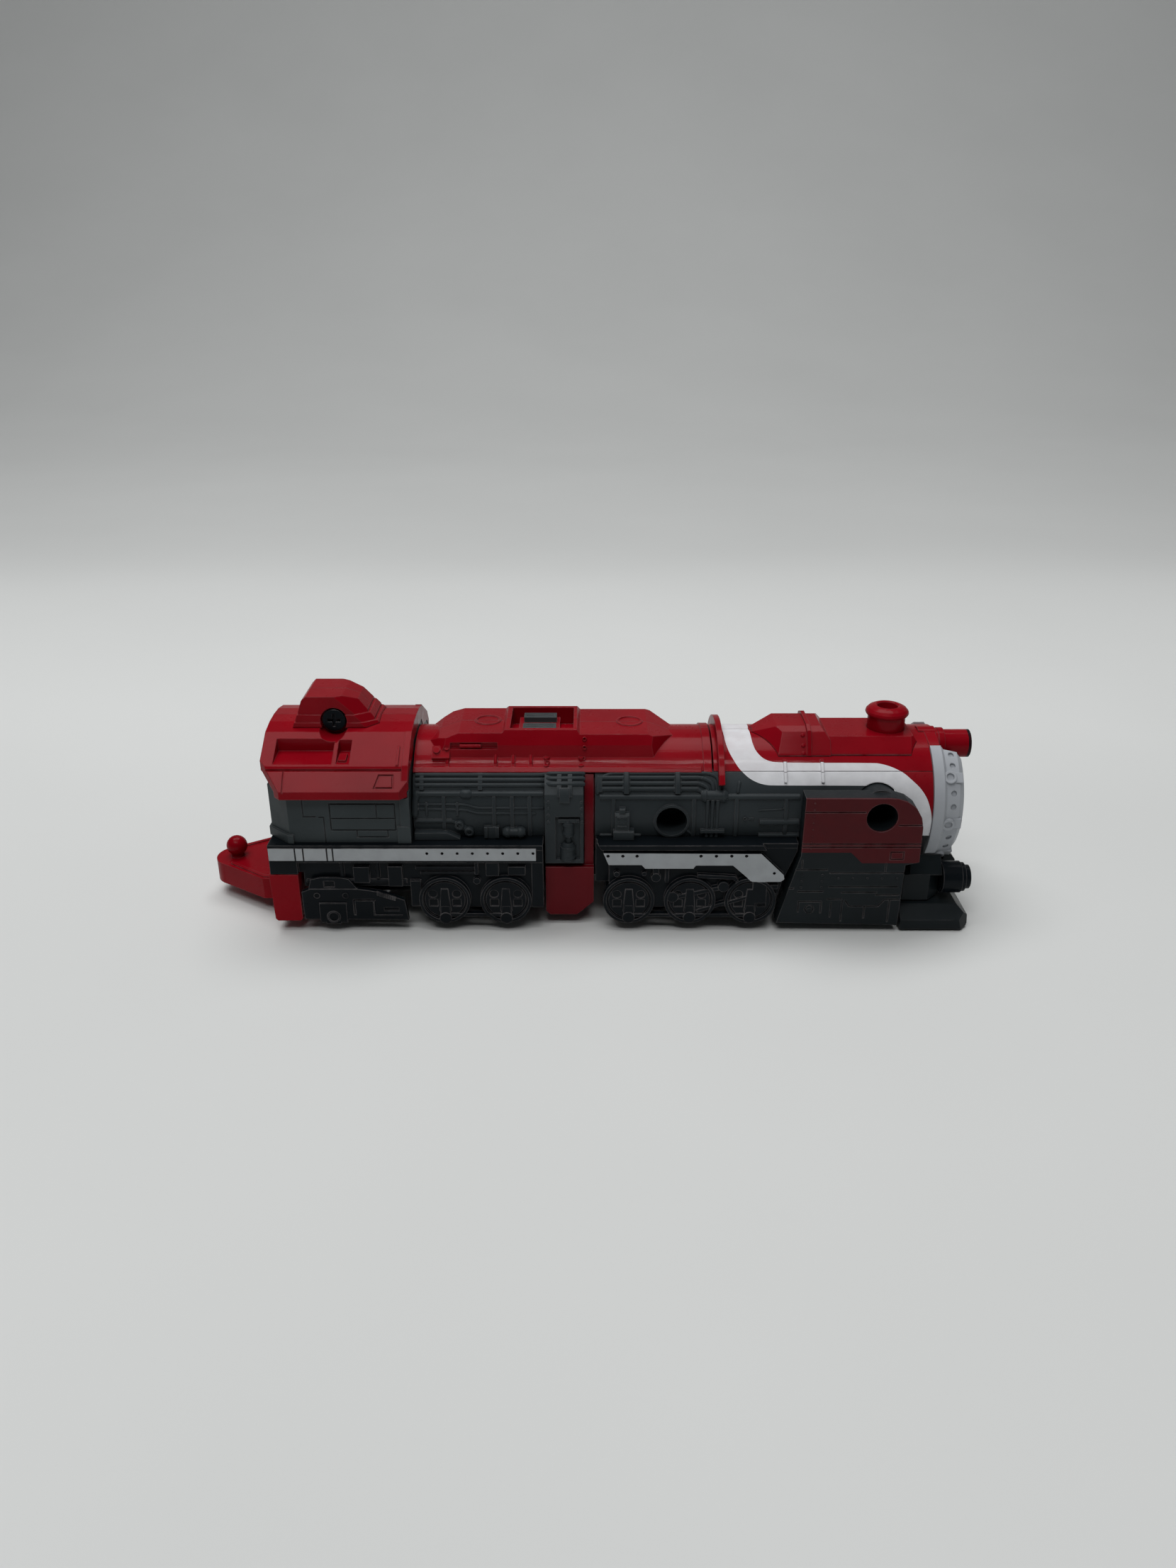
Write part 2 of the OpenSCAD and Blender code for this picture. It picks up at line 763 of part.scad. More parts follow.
module rear_foot_right() {
    rear_foot_half();
}

module rear_foot_left() {
    twin() rear_foot_half();
}

module waist_core_half() {
    color(dark_red) difference() {
        union() {
            along_y(-13, -tongue_half - 0.2) polygon([
                [-7.3, 11.5], [1, 11.5], [1, 4.7], [-1.9, 2.1], [-6.6, 2.1], [-7.3, 2.8]
            ]);
            // upright web filling the gap between the side panels
            intersection() {
                boiler(-0.6, 0.95, boiler_r + 0.1);
                block(-1, 1, -13, -3, 11.4, part_line_z - 0.3);
            }
            block(-0.6, 0.95, -12.1, -3.1, 11.4, boiler_z);
            // thin inner lips that cover both joints from inside
            intersection() {
                boiler(-2.4, 2.4, boiler_in - 0.25);
                block(-3, 3, -13, -3, 12, part_line_z - 0.6);
            }
        }
        boiler(-3, 3, boiler_in - 1);
        rod_y(-waist_pin_half, -1, waist_x, waist_z, waist_pin_r);
    }
}

module waist_core_right() {
    waist_core_half();
}

module waist_core_left() {
    twin() waist_core_half();
}

module waist_pin() {
    color(steel) rod_y(-waist_pin_half + 0.1, waist_pin_half - 0.1, waist_x, waist_z, waist_pin_r);
}

module rear_floor() {
    color(black) difference() {
        union() {
            block(-48.4, -7.5, -12.3, 12.3, floor_low, floor_top);
            block(-49.2, -47, -8.6, 8.6, floor_low, footplate_z - 3);
            axle_bearing(tail_axle_x);
            axle_bearing(cab_axle_x);
        }
        screw_holes(rear_screw_x);
        // openings above the rolling wheels
        for (x = [tail_axle_x, cab_axle_x], side = [-1, 1]) {
            block(x - 3.6, x + 3.6, side * 6.9 - 2, side * 6.9 + 2, 0, 9);
        }
    }
}

module rear_floor_screws() {
    color(steel) for (x = rear_screw_x, side = [-1, 1]) {
        floor_screw(x, side * 9.9);
    }
}

// Raised line along one sloping edge of the hitch
module hitch_rim() {
    along_z(6.8, 7.15) polygon([
        [-56, 8.4], [-57.5, 8.4], [-64.6, 3.4], [-64.6, 2.8], [-57.4, 7.7], [-56, 7.7]
    ]);
}

module hitch_arm() {
    color(red) {
        difference() {
            union() {
                along_z(2.9, 6.9) polygon([
                    [-54, -hitch_half], [-57.6, -hitch_half], [ball_x - 2, -3.2], [ball_x - 2, 3.2],
                    [-57.6, hitch_half], [-54, hitch_half]
                ]);
                rod_z(2.9, 6.9, ball_x, 0, tip_r, mid);
                block(hitch_pin_x - 1.2, hitch_pin_x, -hitch_half, hitch_half, 2.9, 6.9);
                rod_y(-hitch_half, hitch_half, hitch_pin_x, hitch_pin_z, 2, mid);
            }
            rod_y(-hitch_half - 1, hitch_half + 1, hitch_pin_x, hitch_pin_z, 1 + run_gap);
        }
        // raised rim lines along both sloping edges
        hitch_rim();
        twin() hitch_rim();
        rod_z(6.8, ball_z, ball_x, 0, 1.15);
        translate([ball_x, 0, ball_z]) sphere(r = ball_r, $fn = mid);
    }
}

module hitch_pin() {
    color(steel) rod_y(-11, 11, hitch_pin_x, hitch_pin_z, 1);
}

module tail_axle() {
    color(steel) axle(tail_axle_x);
}

module tail_wheels() {
    color(black) wheel_pair(tail_axle_x);
}

module cab_axle() {
    color(steel) axle(cab_axle_x);
}

module cab_wheels() {
    color(black) wheel_pair(cab_axle_x);
}

// ---- front section ----

module front_boiler_half() {
    color(red) union() {
        shell_right(front_rear_x, boiler_front_x, part_line_z + gap, 40);
        // ribs beside the dome
        for (x = dome_rib_x) {
            side_band(x, 0.5, part_line_z + gap, 29.3);
        }
    }
}

module front_boiler_right() {
    front_boiler_half();
}

module front_boiler_left() {
    twin() front_boiler_half();
}

module collar_ring() {
    color(red) difference() {
        boiler(collar_x, collar_x + 1, collar_r);
        boiler(collar_x - 1, collar_x + 2, boiler_r + gap);
        block(collar_x - 1, collar_x + 2, -20, 20, 0, boiler_z);
        // both ends stop a little below the edge of the top shell
        for (side = [0, 1]) {
            mirror([0, side, 0]) around_boiler(61) block(collar_x - 1, collar_x + 2, -20, 0, 0, 20);
        }
    }
}

// Cross-section of one stretch of the steam dome
module dome_section(top, half_top, shoulder_y, shoulder_z) {
    polygon([
        [-7.2, 29], [-7.2, 29.5], [-shoulder_y, shoulder_z], [-half_top, top], [half_top, top],
        [shoulder_y, shoulder_z], [7.2, 29.5], [7.2, 29]
    ]);
}

module steam_dome() {
    high = 33.67;
    low = 32.27;
    color(red) difference() {
        union() {
            // high rear part with a blunt faceted end
            difference() {
                along_x(28, 41.4) dome_section(high, 2.9, 4.4, 33.1);
                slice_off(40, 0, high, 0, 40);
                slice_off(32.5, 0, high, 180, 67);
                for (side = [-1, 1]) {
                    slice_off(32.2, side * 2.9, high, side * 131, 37);
                }
            }
            // low front part with a sloping end and cut corners
            difference() {
                along_x(40, 57.3) dome_section(low, 4.35, 4.45, low - 0.1);
                slice_off(57.3, 0, 30, 0, 33);
                for (side = [-1, 1]) {
                    slice_off(56.4, side * 5.4, 30, side * 45, 33);
                }
            }
            // strap across the dome
            along_x(37.4, 38.1) dome_section(high + 0.45, 3.1, 4.8, 33.45);
        }
        boiler(20, 60, boiler_r + gap);
        rod_z(31, 34, chimney_x, 0, 3.25, mid);
    }
}

module chimney() {
    color(red) translate([chimney_x, 0, 0]) rotate_extrude($fn = fine) polygon([
        [0, 32], [3.2, 32], [3.2, 34.75], [3.55, 34.8], [3.72, 35.1], [3.62, 35.5], [3.2, 35.95],
        [2.6, 36.25], [2.05, 36.4], [1.75, 36.2], [1.6, 34.6], [0, 34.6]
    ]);
}

module headlamp() {
    color(red) difference() {
        union() {
            rod_x(57.4, 60.4, 0, lamp_z + 0.8, 2.3, mid);
            rod_x(58.6, 59.2, 0, lamp_z, 2.6, mid);
            rod_x(59.8, 61.2, 0, lamp_z, 2.65, mid);
            rod_x(61, 62, 0, lamp_z, 2.8, mid);
            rod_x(61.8, nose_x, 0, lamp_z, 2.45, mid);
            // base plate that closes the top of the nose
            difference() {
                boiler(boiler_front_x + gap, 60.3, boiler_r);
                boiler(58, 61, 9.7);
                block(58, 61, -20, -lamp_notch + gap, 0, 40);
                block(58, 61, lamp_notch - gap, 20, 0, 40);
                block(58, 61, -20, 20, 0, lamp_notch_z + gap);
            }
        }
        rod_x(nose_x - 0.6, nose_x + 1, 0, lamp_z, 1.8, mid);
        boiler(50, boiler_front_x, boiler_r + gap);
    }
}

module nose_ring() {
    edge = boiler_r + 0.4;
    lug_turns = [54, 94, 134];
    color(white) difference() {
        union() {
            boiler(boiler_front_x + gap, 60.3, edge);
            translate([60.2, 0, boiler_z]) rotate([0, 90, 0]) {
                cylinder(h = 0.5, r1 = edge, r2 = edge - 0.5, $fn = fine);
                cylinder(h = 3, r1 = edge - 0.5, r2 = edge - 1.1, $fn = fine);
                translate([0, 0, 2.9]) cylinder(h = 1, r1 = edge - 1.1, r2 = edge - 2.2, $fn = fine);
            }
            // raised lugs between the dimples
            for (turn = lug_turns, side = [-1, 1]) {
                around_boiler(side * turn) {
                    rod_z(8, edge - 0.25, 61.3, 0, 1.1, mid);
                    block(61.3, 63.6, -0.9, 0.9, 8, edge - 0.75);
                }
            }
        }
        boiler(58, 65, 9.6);
        boiler(63.2, 65, 10.1);
        // notch for the headlamp
        block(58, 65, -lamp_notch, lamp_notch, lamp_notch_z, 36);
        // dimples around the rim
        for (turn = [33, 43.5, 67.5, 79, 109, 121], side = [-1, 1]) {
            around_boiler(side * turn) rod_z(edge - 1.25, boiler_r + 1, 62, 0, 0.5);
        }
        // hollow in each lug
        for (turn = lug_turns, side = [-1, 1]) {
            around_boiler(side * turn) rod_z(edge - 0.6, boiler_r + 1, 61.3, 0, 0.65);
        }
    }
}

module smokebox_door() {
    color(grey) difference() {
        union() {
            boiler(59, 63.4, 9.5);
            boiler(63.3, 64.2, 7.6);
            boiler(64.1, 64.9, 2.2);
            for (side = [-1, 1]) {
                block(63.3, 64.3, side * 4 - 2.4, side * 4 + 2.4, boiler_z + 2.9, boiler_z + 3.9);
                block(63.3, 64.3, side * 4 - 2.4, side * 4 + 2.4, boiler_z - 3.9, boiler_z - 2.9);
            }
        }
        boiler(58, 61.6, 8.3);
        block(58, 65, -3.2, 3.2, 26.4, 36);
    }
}

module front_side_panel_half() {
    rim = 3.05;
    socket_end = -front_socket_y + socket_depth;
    color(grey) difference() {
        union() {
            shell_right(1.2, boiler_front_x, footplate_z + gap, part_line_z);
            // bank of three pipes in a louvre frame
            for (angle = [54.5, 59, 63.5]) {
                side_pipe(2.4, 18.6, angle, 0.42);
            }
            side_pipe(2, 35.8, 70, 0.5);
            for (x = [6.5, 15.15]) {
                side_band(x, 1.3, 24.9, 27.3);
            }
            side_band(2, 0.8, 24.9, 27.3);
            for (x = dome_rib_x) {
                side_band(x, 0.5, 26.3, part_line_z);
            }
            for (x = [4.3, 17.9, 25.1, 33.5]) {
                side_band(x, 0.6, footplate_z + gap, 24.2);
            }
            // coupling where the pipes join, and the three pipes below it
            side_pipe(19.6, 23.2, 69, 0.95);
            for (x = [20.2, 21.05, 21.9]) {
                rod_z(footplate_z + gap, 23.8, x, -11.95, 0.32);
            }
            block(19.1, 23.2, -12.6, -11.6, 17.8, 18.4);
            side_pipe(29.1, 35.8, 91, 0.55);
            side_pipe(29.1, 36, 104, 0.5);
            // feed pump
            fitting(4.3, 7.8, -13.4, -11, footplate_z + gap, 18.5, 0.2);
            fitting(4.6, 7, -13, -11, 18.4, 21.6, 0.4);
            fitting(5.3, 6.3, -12.8, -11, 21.5, 22.4, 0.2);
            side_pipe(2, 9, 104, 0.3);
            // socket boss
            rod_y(-front_socket_y, socket_end + 0.8, front_socket_x, front_socket_z, rim, mid);
        }
        rod_y(-14, socket_end, front_socket_x, front_socket_z, socket_r, mid);
        rod_y(-14, -5, skirt_socket_x, skirt_socket_z, 4.1, mid);
        // pipes end at the footplate
        block(1, 37, -13.5, -11, footplate_z - 1, footplate_z + gap);
        boiler(boiler_front_x - 1, boiler_front_x + 1, boiler_in);
    }
}

module front_side_panel_right() {
    front_side_panel_half();
}

module front_side_panel_left() {
    twin() front_side_panel_half();
}

// Silver stripe outline on the front running gear
module front_stripe() {
    polygon([
        [2.6, 15.45], [3.5, 13.2], [9.1, 13.2], [9.7, 12.5], [17.9, 12.5], [18.3, 13.1], [24.6, 13.1],
        [28, 9.95], [32.9, 9.95], [33.5, 10.5], [33.3, 11.3], [29.3, 15.3]
    ]);
}

// Cap of a crank pin with the wedge that carries it
module crank_cap(x, z) {
    rod_y(-half_width, -plate_out, x, z, 1.05);
    along_y(-half_width + 0.12, -plate_out) polygon([
        [x - 1, z], [x - 0.65, z + 2.3], [x + 0.65, z + 2.3], [x + 1, z]
    ]);
}

module front_frame_half() {
    back = -plate_out + 0.1;
    color(black) difference() {
        union() {
            along_y(-plate_out, -plate_in) polygon([
                [3.6, 4.5], [3.6, 13.8], [1.5, footplate_z], [35.6, footplate_z], [35.5, 15.2], [33.3, 9.5],
                [32.2, 4.5]
            ]);
            along_y(-fascia_out, -ledge_in) polygon([
                [1.7, footplate_z], [35.6, footplate_z], [35.5, 15.9], [2.3, 15.9]
            ]);
            // narrower inner plate that closes the joint beside the waist
            block(1.3, 4, -plate_in - 0.1, -ledge_in, 8.6, footplate_z);
            along_y(-half_width + 0.05, back) front_stripe();
            for (x = front_relief_x) {
                relief_wheel(x, relief_z - 0.1);
                crank_cap(x, 2.9);
            }
            // coupling rod
            block(7, 28, -half_width + 0.1, back, 3, 3.6);
            // slanted rods and their caps
            translate([18.8, 0, 4.1]) rotate([0, -17.4, 0]) block(0, 12.2, -15.3, back, -0.3, 0.3);
            translate([14.6, 0, 6.7]) rotate([0, -13.5, 0]) block(0, 9, -15.3, back, -0.35, 0.35);
            rod_y(-15.4, back, 14.5, 6.9, 1);
            rod_y(-15.4, back, 23.2, 8.9, 0.95);
            // fender line over the last wheel, and the block hanging from the stripe
            block(28.2, 30.6, -15.35, back, 5.7, 9.9);
            block(30.4, 32.6, -15, back, 8.3, 9.1);
            block(29, 32.4, -14.9, back, 6.9, 7.4);
            // boxes and posts under the stripe
            along_y(-15.1, back) polygon([
                [18.7, 11.2], [25.2, 10.8], [26, 9.6], [25.6, 9.4], [24.8, 10.2], [18.7, 10.5]
            ]);
            rod_y(-15.2, back, 11.6, 10.6, 0.8);
            block(11.1, 12.1, -15.1, back, 10.6, 12.5);
            block(13.2, 13.8, -15, back, 9.6, 12.5);
            rod_y(-15.1, back, 9.6, 11.3, 0.4);
            rod_y(-15.1, back, 4.9, 11.2, 0.5);
            for (x = [8, 26]) {
                screw_lug(x, plate_in);
            }
        }
        // the ledge steps back ahead of the stripe
        along_y(-half_width - 1, -plate_out - 0.05) polygon([
            [29.6, footplate_z + 1], [29.6, footplate_z], [30.8, 15], [37, 15], [37, footplate_z + 1]
        ]);
        // room for the socket rim
        rod_y(-front_socket_y - 0.1, -ledge_in + 1, front_socket_x, front_socket_z, 3.15, mid);
        // rivet holes along the stripe
        for (x = [3.4, 5.9, 8.3, 19.1, 21.7, 24.3, 26.8]) {
            rod_y(-half_width - 1, -half_width + 0.4, x, 14.9, 0.28);
        }
        rod_y(-half_width - 1, -half_width + 0.4, 31.7, 11.6, 0.25);
    }
}

module front_frame_right() {
    front_frame_half();
}

module front_frame_left() {
    twin() front_frame_half();
}

// Side view of the front skirt
module skirt_outline() {
    difference() {
        polygon([
            [32.6, 1.9], [53.6, 1.4], [53.8, 13.2], [56.1, 13.75], [56, 20.3], [55.6, 22.1], [54.6, 23.8],
            [53, 25], [51.4, 25.5], [50.1, 25.65], [36.1, 25.65], [36, 15], [34.4, 9]
        ]);
        polygon([[53.85, 13.15], [57, 12], [57, 13.8]]);
    }
}

module front_skirt_half() {
    color(black) difference() {
        union() {
            along_y(-half_width, -skirt_in) skirt_outline();
            rod_y(-skirt_in - 1, -half_width + socket_depth + 0.8, skirt_socket_x, skirt_socket_z, 3.9, mid);
            for (x = [39.5, 51]) {
                screw_lug(x, skirt_in);
            }
        }
        rod_y(-half_width - 1, -half_width + socket_depth, skirt_socket_x, skirt_socket_z, socket_r, mid);
        // engraved lines of the painted upper part
        groove(half_width, 35, 46.2, 23, 23 + line);
        groove(half_width, 51.9, 56.5, 20.6, 20.6 + line);
        groove(half_width, 35, 56.5, 17.1, 17.1 + line);
        groove(half_width, 35, 56.5, 16.5, 16.5 + line);
        engraved_square(51, 53.4, 14.2, 15.8);
        // stepped lines of the lower part
        groove(half_width, 34, 40.7, 12.2, 12.2 + line);
        groove(half_width, 41.1, 53.9, 11.6, 11.6 + line);
        groove(half_width, 33.3, 35.2, 8.6, 8.6 + line);
        groove(half_width, 41.1, 53, 8.9, 8.9 + line);
        groove(half_width, 35.9, 40.3, 8, 8 + line);
        groove(half_width, 43.4, 49.5, 7.8, 7.8 + line);
        groove(half_width, 49.3, 53.4, 7.3, 7.3 + line);
        groove(half_width, 50.4, 50.4 + line, 11.6, 13.6);
        groove(half_width, 36.2, 36.2 + line, 12.3, 14.2);
        // hatch with a half round handle
        groove(half_width, 36.1, 40.2, 6, 6 + line);
        groove(half_width, 36.1, 36.1 + line, 4, 6);
        groove(half_width, 40, 40 + line, 3.8, 6);
        difference() {
            rod_y(-half_width - 1, -half_width + engraving, 38.1, 4.6, 0.85, small);
            rod_y(-half_width - 2, -half_width + 1, 38.1, 4.8, 0.55, small);
        }
        // ribbed panels along the bottom
        groove(half_width, 41, 43.6, 6.5, 6.5 + line);
        groove(half_width, 50.9, 53.6, 6.4, 6.4 + line);
        for (rib = [[41.7, 3, 6], [43.6, 2.2, 6.4], [47.5, 2.8, 5.1], [51.7, 2.1, 6.4]]) {
            groove(half_width, rib[0], rib[0] + line, rib[1], rib[2]);
        }
        groove(half_width, 44.9, 50, 5.1, 5.1 + line);
        along_y(-half_width - 1, -half_width + engraving) {
            polygon([[44, 6.4], [44.3, 6.4], [45.15, 5.15], [44.8, 5.15]]);
            polygon([[51.1, 6.5], [50.8, 6.5], [49.7, 5.15], [50.05, 5.15]]);
        }
        // light pocket behind the plate for the leading wheel
        block(40.6, 50.6, -skirt_in - 1.2, -skirt_in + 1, 1, 7.4);
    }
}

// Engraved outline of a small square plate on the skirt
module engraved_square(x0, x1, z0, z1) {
    groove(half_width, x0, x1, z1 - line, z1);
    groove(half_width, x0, x1, z0, z0 + line);
    groove(half_width, x0, x0 + line, z0, z1);
    groove(half_width, x1 - line, x1, z0, z1);
}

module front_skirt_right() {
    front_skirt_half();
}

module front_skirt_left() {
    twin() front_skirt_half();
}

module front_beam() {
    color(grey) difference() {
        union() {
            along_z(4.4, 9.4) polygon([
                [54.9, -11.9], [59.4, -11.9], [61.5, -10], [61.5, 10], [59.4, 11.9], [54.9, 11.9]
            ]);
            // sloping shoulders rising to the ring
            intersection() {
                along_x(54, 61.5) polygon([
                    [-11.9, 9.3], [-9.5, 14.1], [9.5, 14.1], [11.9, 9.3]
                ]);
                along_y(-12, 12) polygon([
                    [55.9, 9.3], [56.3, 14.2], [59.5, 14.2], [61.3, 12.6], [61.5, 9.3]
                ]);
            }
            block(50.2, 55.9, -4.6, 4.6, floor_top + gap, 9.3);
            // hook in the middle
            along_y(-3, 3) polygon([[61, 5.6], [61, 9.7], [64.7, 9.7], [66.4, 7.7], [66.4, 5.6]]);
            // small lip along the lower edge
            along_z(4.1, 4.5) polygon([
                [55.3, -11.6], [59.3, -11.6], [61.2, -9.8], [61.2, 9.8], [59.3, 11.6], [55.3, 11.6]
            ]);
        }
        boiler(50, 64.3, boiler_r + 0.6);
    }
}

module buffer(side) {
    color(black) {
        rod_x(61.55, 64.9, side * buffer_y, buffer_z, 2.8, mid);
        rod_x(64.8, 65.6, side * buffer_y, buffer_z, 2.55, mid);
        rod_x(65.4, nose_x - 0.2, side * buffer_y, buffer_z, 2.1, mid);
    }
}

module buffer_right() {
    buffer(-1);
}

module buffer_left() {
    buffer(1);
}

module pilot() {
    color(black) intersection() {
        along_y(-half_width, half_width) polygon([
            [54.2, 0.5], [54.2, 4.05], [64.4, 4.05], [66.3, 2.3], [66.3, 0.8], [66, 0.5]
        ]);
        along_x(54, nose_x) polygon([
            [-half_width + 0.2, 0.5], [-half_width + 0.2, 2.3], [-12.6, 4.05], [12.6, 4.05],
            [half_width - 0.2, 2.3], [half_width - 0.2, 0.5]
        ]);
        difference() {
            block(54, nose_x, -half_width, half_width, 0, 5);
            for (side = [-1, 1]) {
                slice_off(65.6, side * 14.4, 1, side * 45, 10);
            }
        }
    }
}

module front_floor() {
    color(black) difference() {
        union() {
            block(3, 53.4, -11.9, 11.9, floor_low, floor_top);
            along_y(-tongue_half, tongue_half) polygon([
                [waist_x, 4.6], [waist_x, 9.4], [4, 9.4], [8, floor_top - 0.1], [8, floor_low + 0.1], [4, 4.6]
            ]);
            rod_y(-tongue_half, tongue_half, waist_x, waist_z, 2.4, mid);
            axle_bearing(driver_axle_x);
            axle_bearing(leading_axle_x);
        }
        rod_y(-tongue_half - 1, tongue_half + 1, waist_x, waist_z, waist_pin_r + run_gap);
        screw_holes(front_screw_x);
        for (x = [driver_axle_x, leading_axle_x], side = [-1, 1]) {
            block(x - 3.6, x + 3.6, side * 6.9 - 2, side * 6.9 + 2, 0, 9);
        }
    }
}

module front_floor_screws() {
    color(steel) for (x = front_screw_x, side = [-1, 1]) {
        floor_screw(x, side * 9.9);
    }
}

module driver_axle() {
    color(steel) axle(driver_axle_x);
}

module driver_wheels() {
    color(black) wheel_pair(driver_axle_x);
}

module leading_axle() {
    color(steel) axle(leading_axle_x);
}

module leading_wheels() {
    color(black) wheel_pair(leading_axle_x);
}

cab_roof_right();
cab_roof_left();
roof_tower_right();
roof_tower_left();
tower_screw();
cab_side_right();
cab_side_left();
cab_rear_wall();
cab_front_wall();
boiler_cover_right();
boiler_cover_left();
latch_insert();
rear_side_panel_right();
rear_side_panel_left();
rear_frame_right();
rear_frame_left();
bogie_panel_right();
bogie_panel_left();
rear_foot_right();
rear_foot_left();
waist_core_right();
waist_core_left();
waist_pin();
rear_floor();
rear_floor_screws();
hitch_arm();
hitch_pin();
tail_axle();
tail_wheels();
cab_axle();
cab_wheels();
front_boiler_right();
front_boiler_left();
collar_ring();
steam_dome();
chimney();
headlamp();
nose_ring();
smokebox_door();
front_side_panel_right();
front_side_panel_left();
front_frame_right();
front_frame_left();
front_skirt_right();
front_skirt_left();
front_beam();
buffer_right();
buffer_left();
pilot();
front_floor();
front_floor_screws();
driver_axle();
driver_wheels();
leading_axle();
leading_wheels();
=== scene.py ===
"""Looks for the toy train locomotive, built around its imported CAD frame.

Metres, +X towards the nose, right-hand side at -Y, wheels on Z = 0.
"""

import math

import bmesh
import bpy
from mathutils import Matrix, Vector


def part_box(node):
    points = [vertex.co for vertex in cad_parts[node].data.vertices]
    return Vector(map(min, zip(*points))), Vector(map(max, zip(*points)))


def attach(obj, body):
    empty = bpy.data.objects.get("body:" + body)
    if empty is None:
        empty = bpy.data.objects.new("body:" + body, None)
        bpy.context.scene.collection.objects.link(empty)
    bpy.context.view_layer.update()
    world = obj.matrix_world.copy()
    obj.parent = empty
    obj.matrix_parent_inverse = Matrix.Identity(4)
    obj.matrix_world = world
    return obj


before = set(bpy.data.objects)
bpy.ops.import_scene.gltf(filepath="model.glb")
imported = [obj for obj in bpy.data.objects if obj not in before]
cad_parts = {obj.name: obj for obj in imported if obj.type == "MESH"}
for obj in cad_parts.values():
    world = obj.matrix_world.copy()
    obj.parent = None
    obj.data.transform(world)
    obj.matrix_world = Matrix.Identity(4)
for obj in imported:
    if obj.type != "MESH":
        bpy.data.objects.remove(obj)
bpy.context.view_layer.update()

MM = 0.001
BOILER_R = 12.0 * MM
# height of the boiler's axis, to the nearest 0.1 mm, as the part is drawn
BOILER_Z = round(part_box("front_boiler_right")[1].z - BOILER_R, 4)


def rear_end(node):
    """Where a CAD node starts along X, in metres."""
    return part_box(node)[0].x


def outer_face(node):
    """How far a right-hand CAD node reaches from the middle plane, in metres."""
    return -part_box(node)[0].y


# ---- node graphs ----


class Graph:
    """Short helper for building one material's node tree."""

    def __init__(self, name):
        self.material = bpy.data.materials.new(name)
        self.material.use_nodes = True
        self.tree = self.material.node_tree
        self.tree.nodes.clear()
        coords = self.add("ShaderNodeTexCoord")
        self.position = coords.outputs["Object"]
        split = self.add("ShaderNodeSeparateXYZ", {0: self.position})
        self.x, self.y, self.z = split.outputs

    def add(self, kind, inputs=None, **settings):
        node = self.tree.nodes.new(kind)
        for key, value in settings.items():
            setattr(node, key, value)
        for key, value in (inputs or {}).items():
            self.feed(node.inputs[key], value)
        return node

    def feed(self, socket, value):
        if isinstance(value, bpy.types.NodeSocket):
            self.tree.links.new(value, socket)
        else:
            socket.default_value = value

    def math(self, operation, a, b=0.0, clamp=False):
        node = self.add("ShaderNodeMath", {0: a, 1: b}, operation=operation, use_clamp=clamp)
        return node.outputs[0]

    def above(self, value, edge):
        return self.math("GREATER_THAN", value, edge)

    def below(self, value, edge):
        return self.math("LESS_THAN", value, edge)

    def both(self, a, b):
        return self.math("MULTIPLY", a, b)

    def noise(self, scale, detail=3.0):
        node = self.add("ShaderNodeTexNoise", {"Vector": self.position, "Scale": scale, "Detail": detail})
        return node.outputs["Fac"]

    def ramp(self, value, start, end, low, high):
        """Maps start..end onto low..high and holds the end values outside it."""
        node = self.add("ShaderNodeMapRange", {0: value, 1: start, 2: end, 3: low, 4: high})
        return node.outputs[0]

    def spread(self, value, low, high):
        """Maps 0.3..0.7, where noise mostly lies, onto low..high."""
        return self.ramp(value, 0.3, 0.7, low, high)

    def mix(self, amount, a, b, blend="MIX"):
        node = self.add("ShaderNodeMix", data_type="RGBA", blend_type=blend)
        self.feed(node.inputs[0], amount)
        self.feed(node.inputs[6], a)
        self.feed(node.inputs[7], b)
        return node.outputs[2]

    def curve(self, value, points, low, high):
        """A smooth curve through (place from low to high, value from 0 to 1) points."""
        node = self.add("ShaderNodeFloatCurve", {"Value": self.ramp(value, low, high, 0.0, 1.0)})
        line = node.mapping.curves[0]
        while len(line.points) < len(points):
            line.points.new(0.5, 0.5)
        for spot, (at, height) in zip(line.points, points):
            spot.location = ((at - low) / (high - low), height)
            spot.handle_type = "AUTO_CLAMPED"
        node.mapping.update()
        return node.outputs[0]


def rgb(r, g, b):
    return (r, g, b, 1.0)


RED = rgb(0.225, 0.0012, 0.0065)
DEEP_RED = rgb(0.115, 0.002, 0.006)
PAINT_RED = rgb(0.075, 0.0065, 0.009)
GREY = rgb(0.028, 0.0345, 0.038)
CAB_GREY = rgb(0.038, 0.047, 0.050)
SKIRT_GREY = rgb(0.009, 0.0125, 0.0145)
BLACK = rgb(0.0045, 0.0065, 0.0085)
SILVER = rgb(0.375, 0.395, 0.41)
WHITE = rgb(0.73, 0.735, 0.76)
RING_GREY = rgb(0.40, 0.42, 0.45)
STEEL = rgb(0.5, 0.5, 0.5)


# light grey-pink of an edge, partly rubbed wear and partly a painted highlight of light caught by rounded edges
RUBBED_AND_HIGHLIGHT = rgb(0.72, 0.66, 0.66)
# how far the lighter and darker mottling strays from a colour
LIGHTER = 1.14
DARKER = 0.84
EDGE_RADIUS = 0.22 * MM
GRAIN_DEPTH = 0.02 * MM
# stretch of the gleam's streaks, finer across than along X
STREAKS = (120.0, 1500.0, 1500.0)


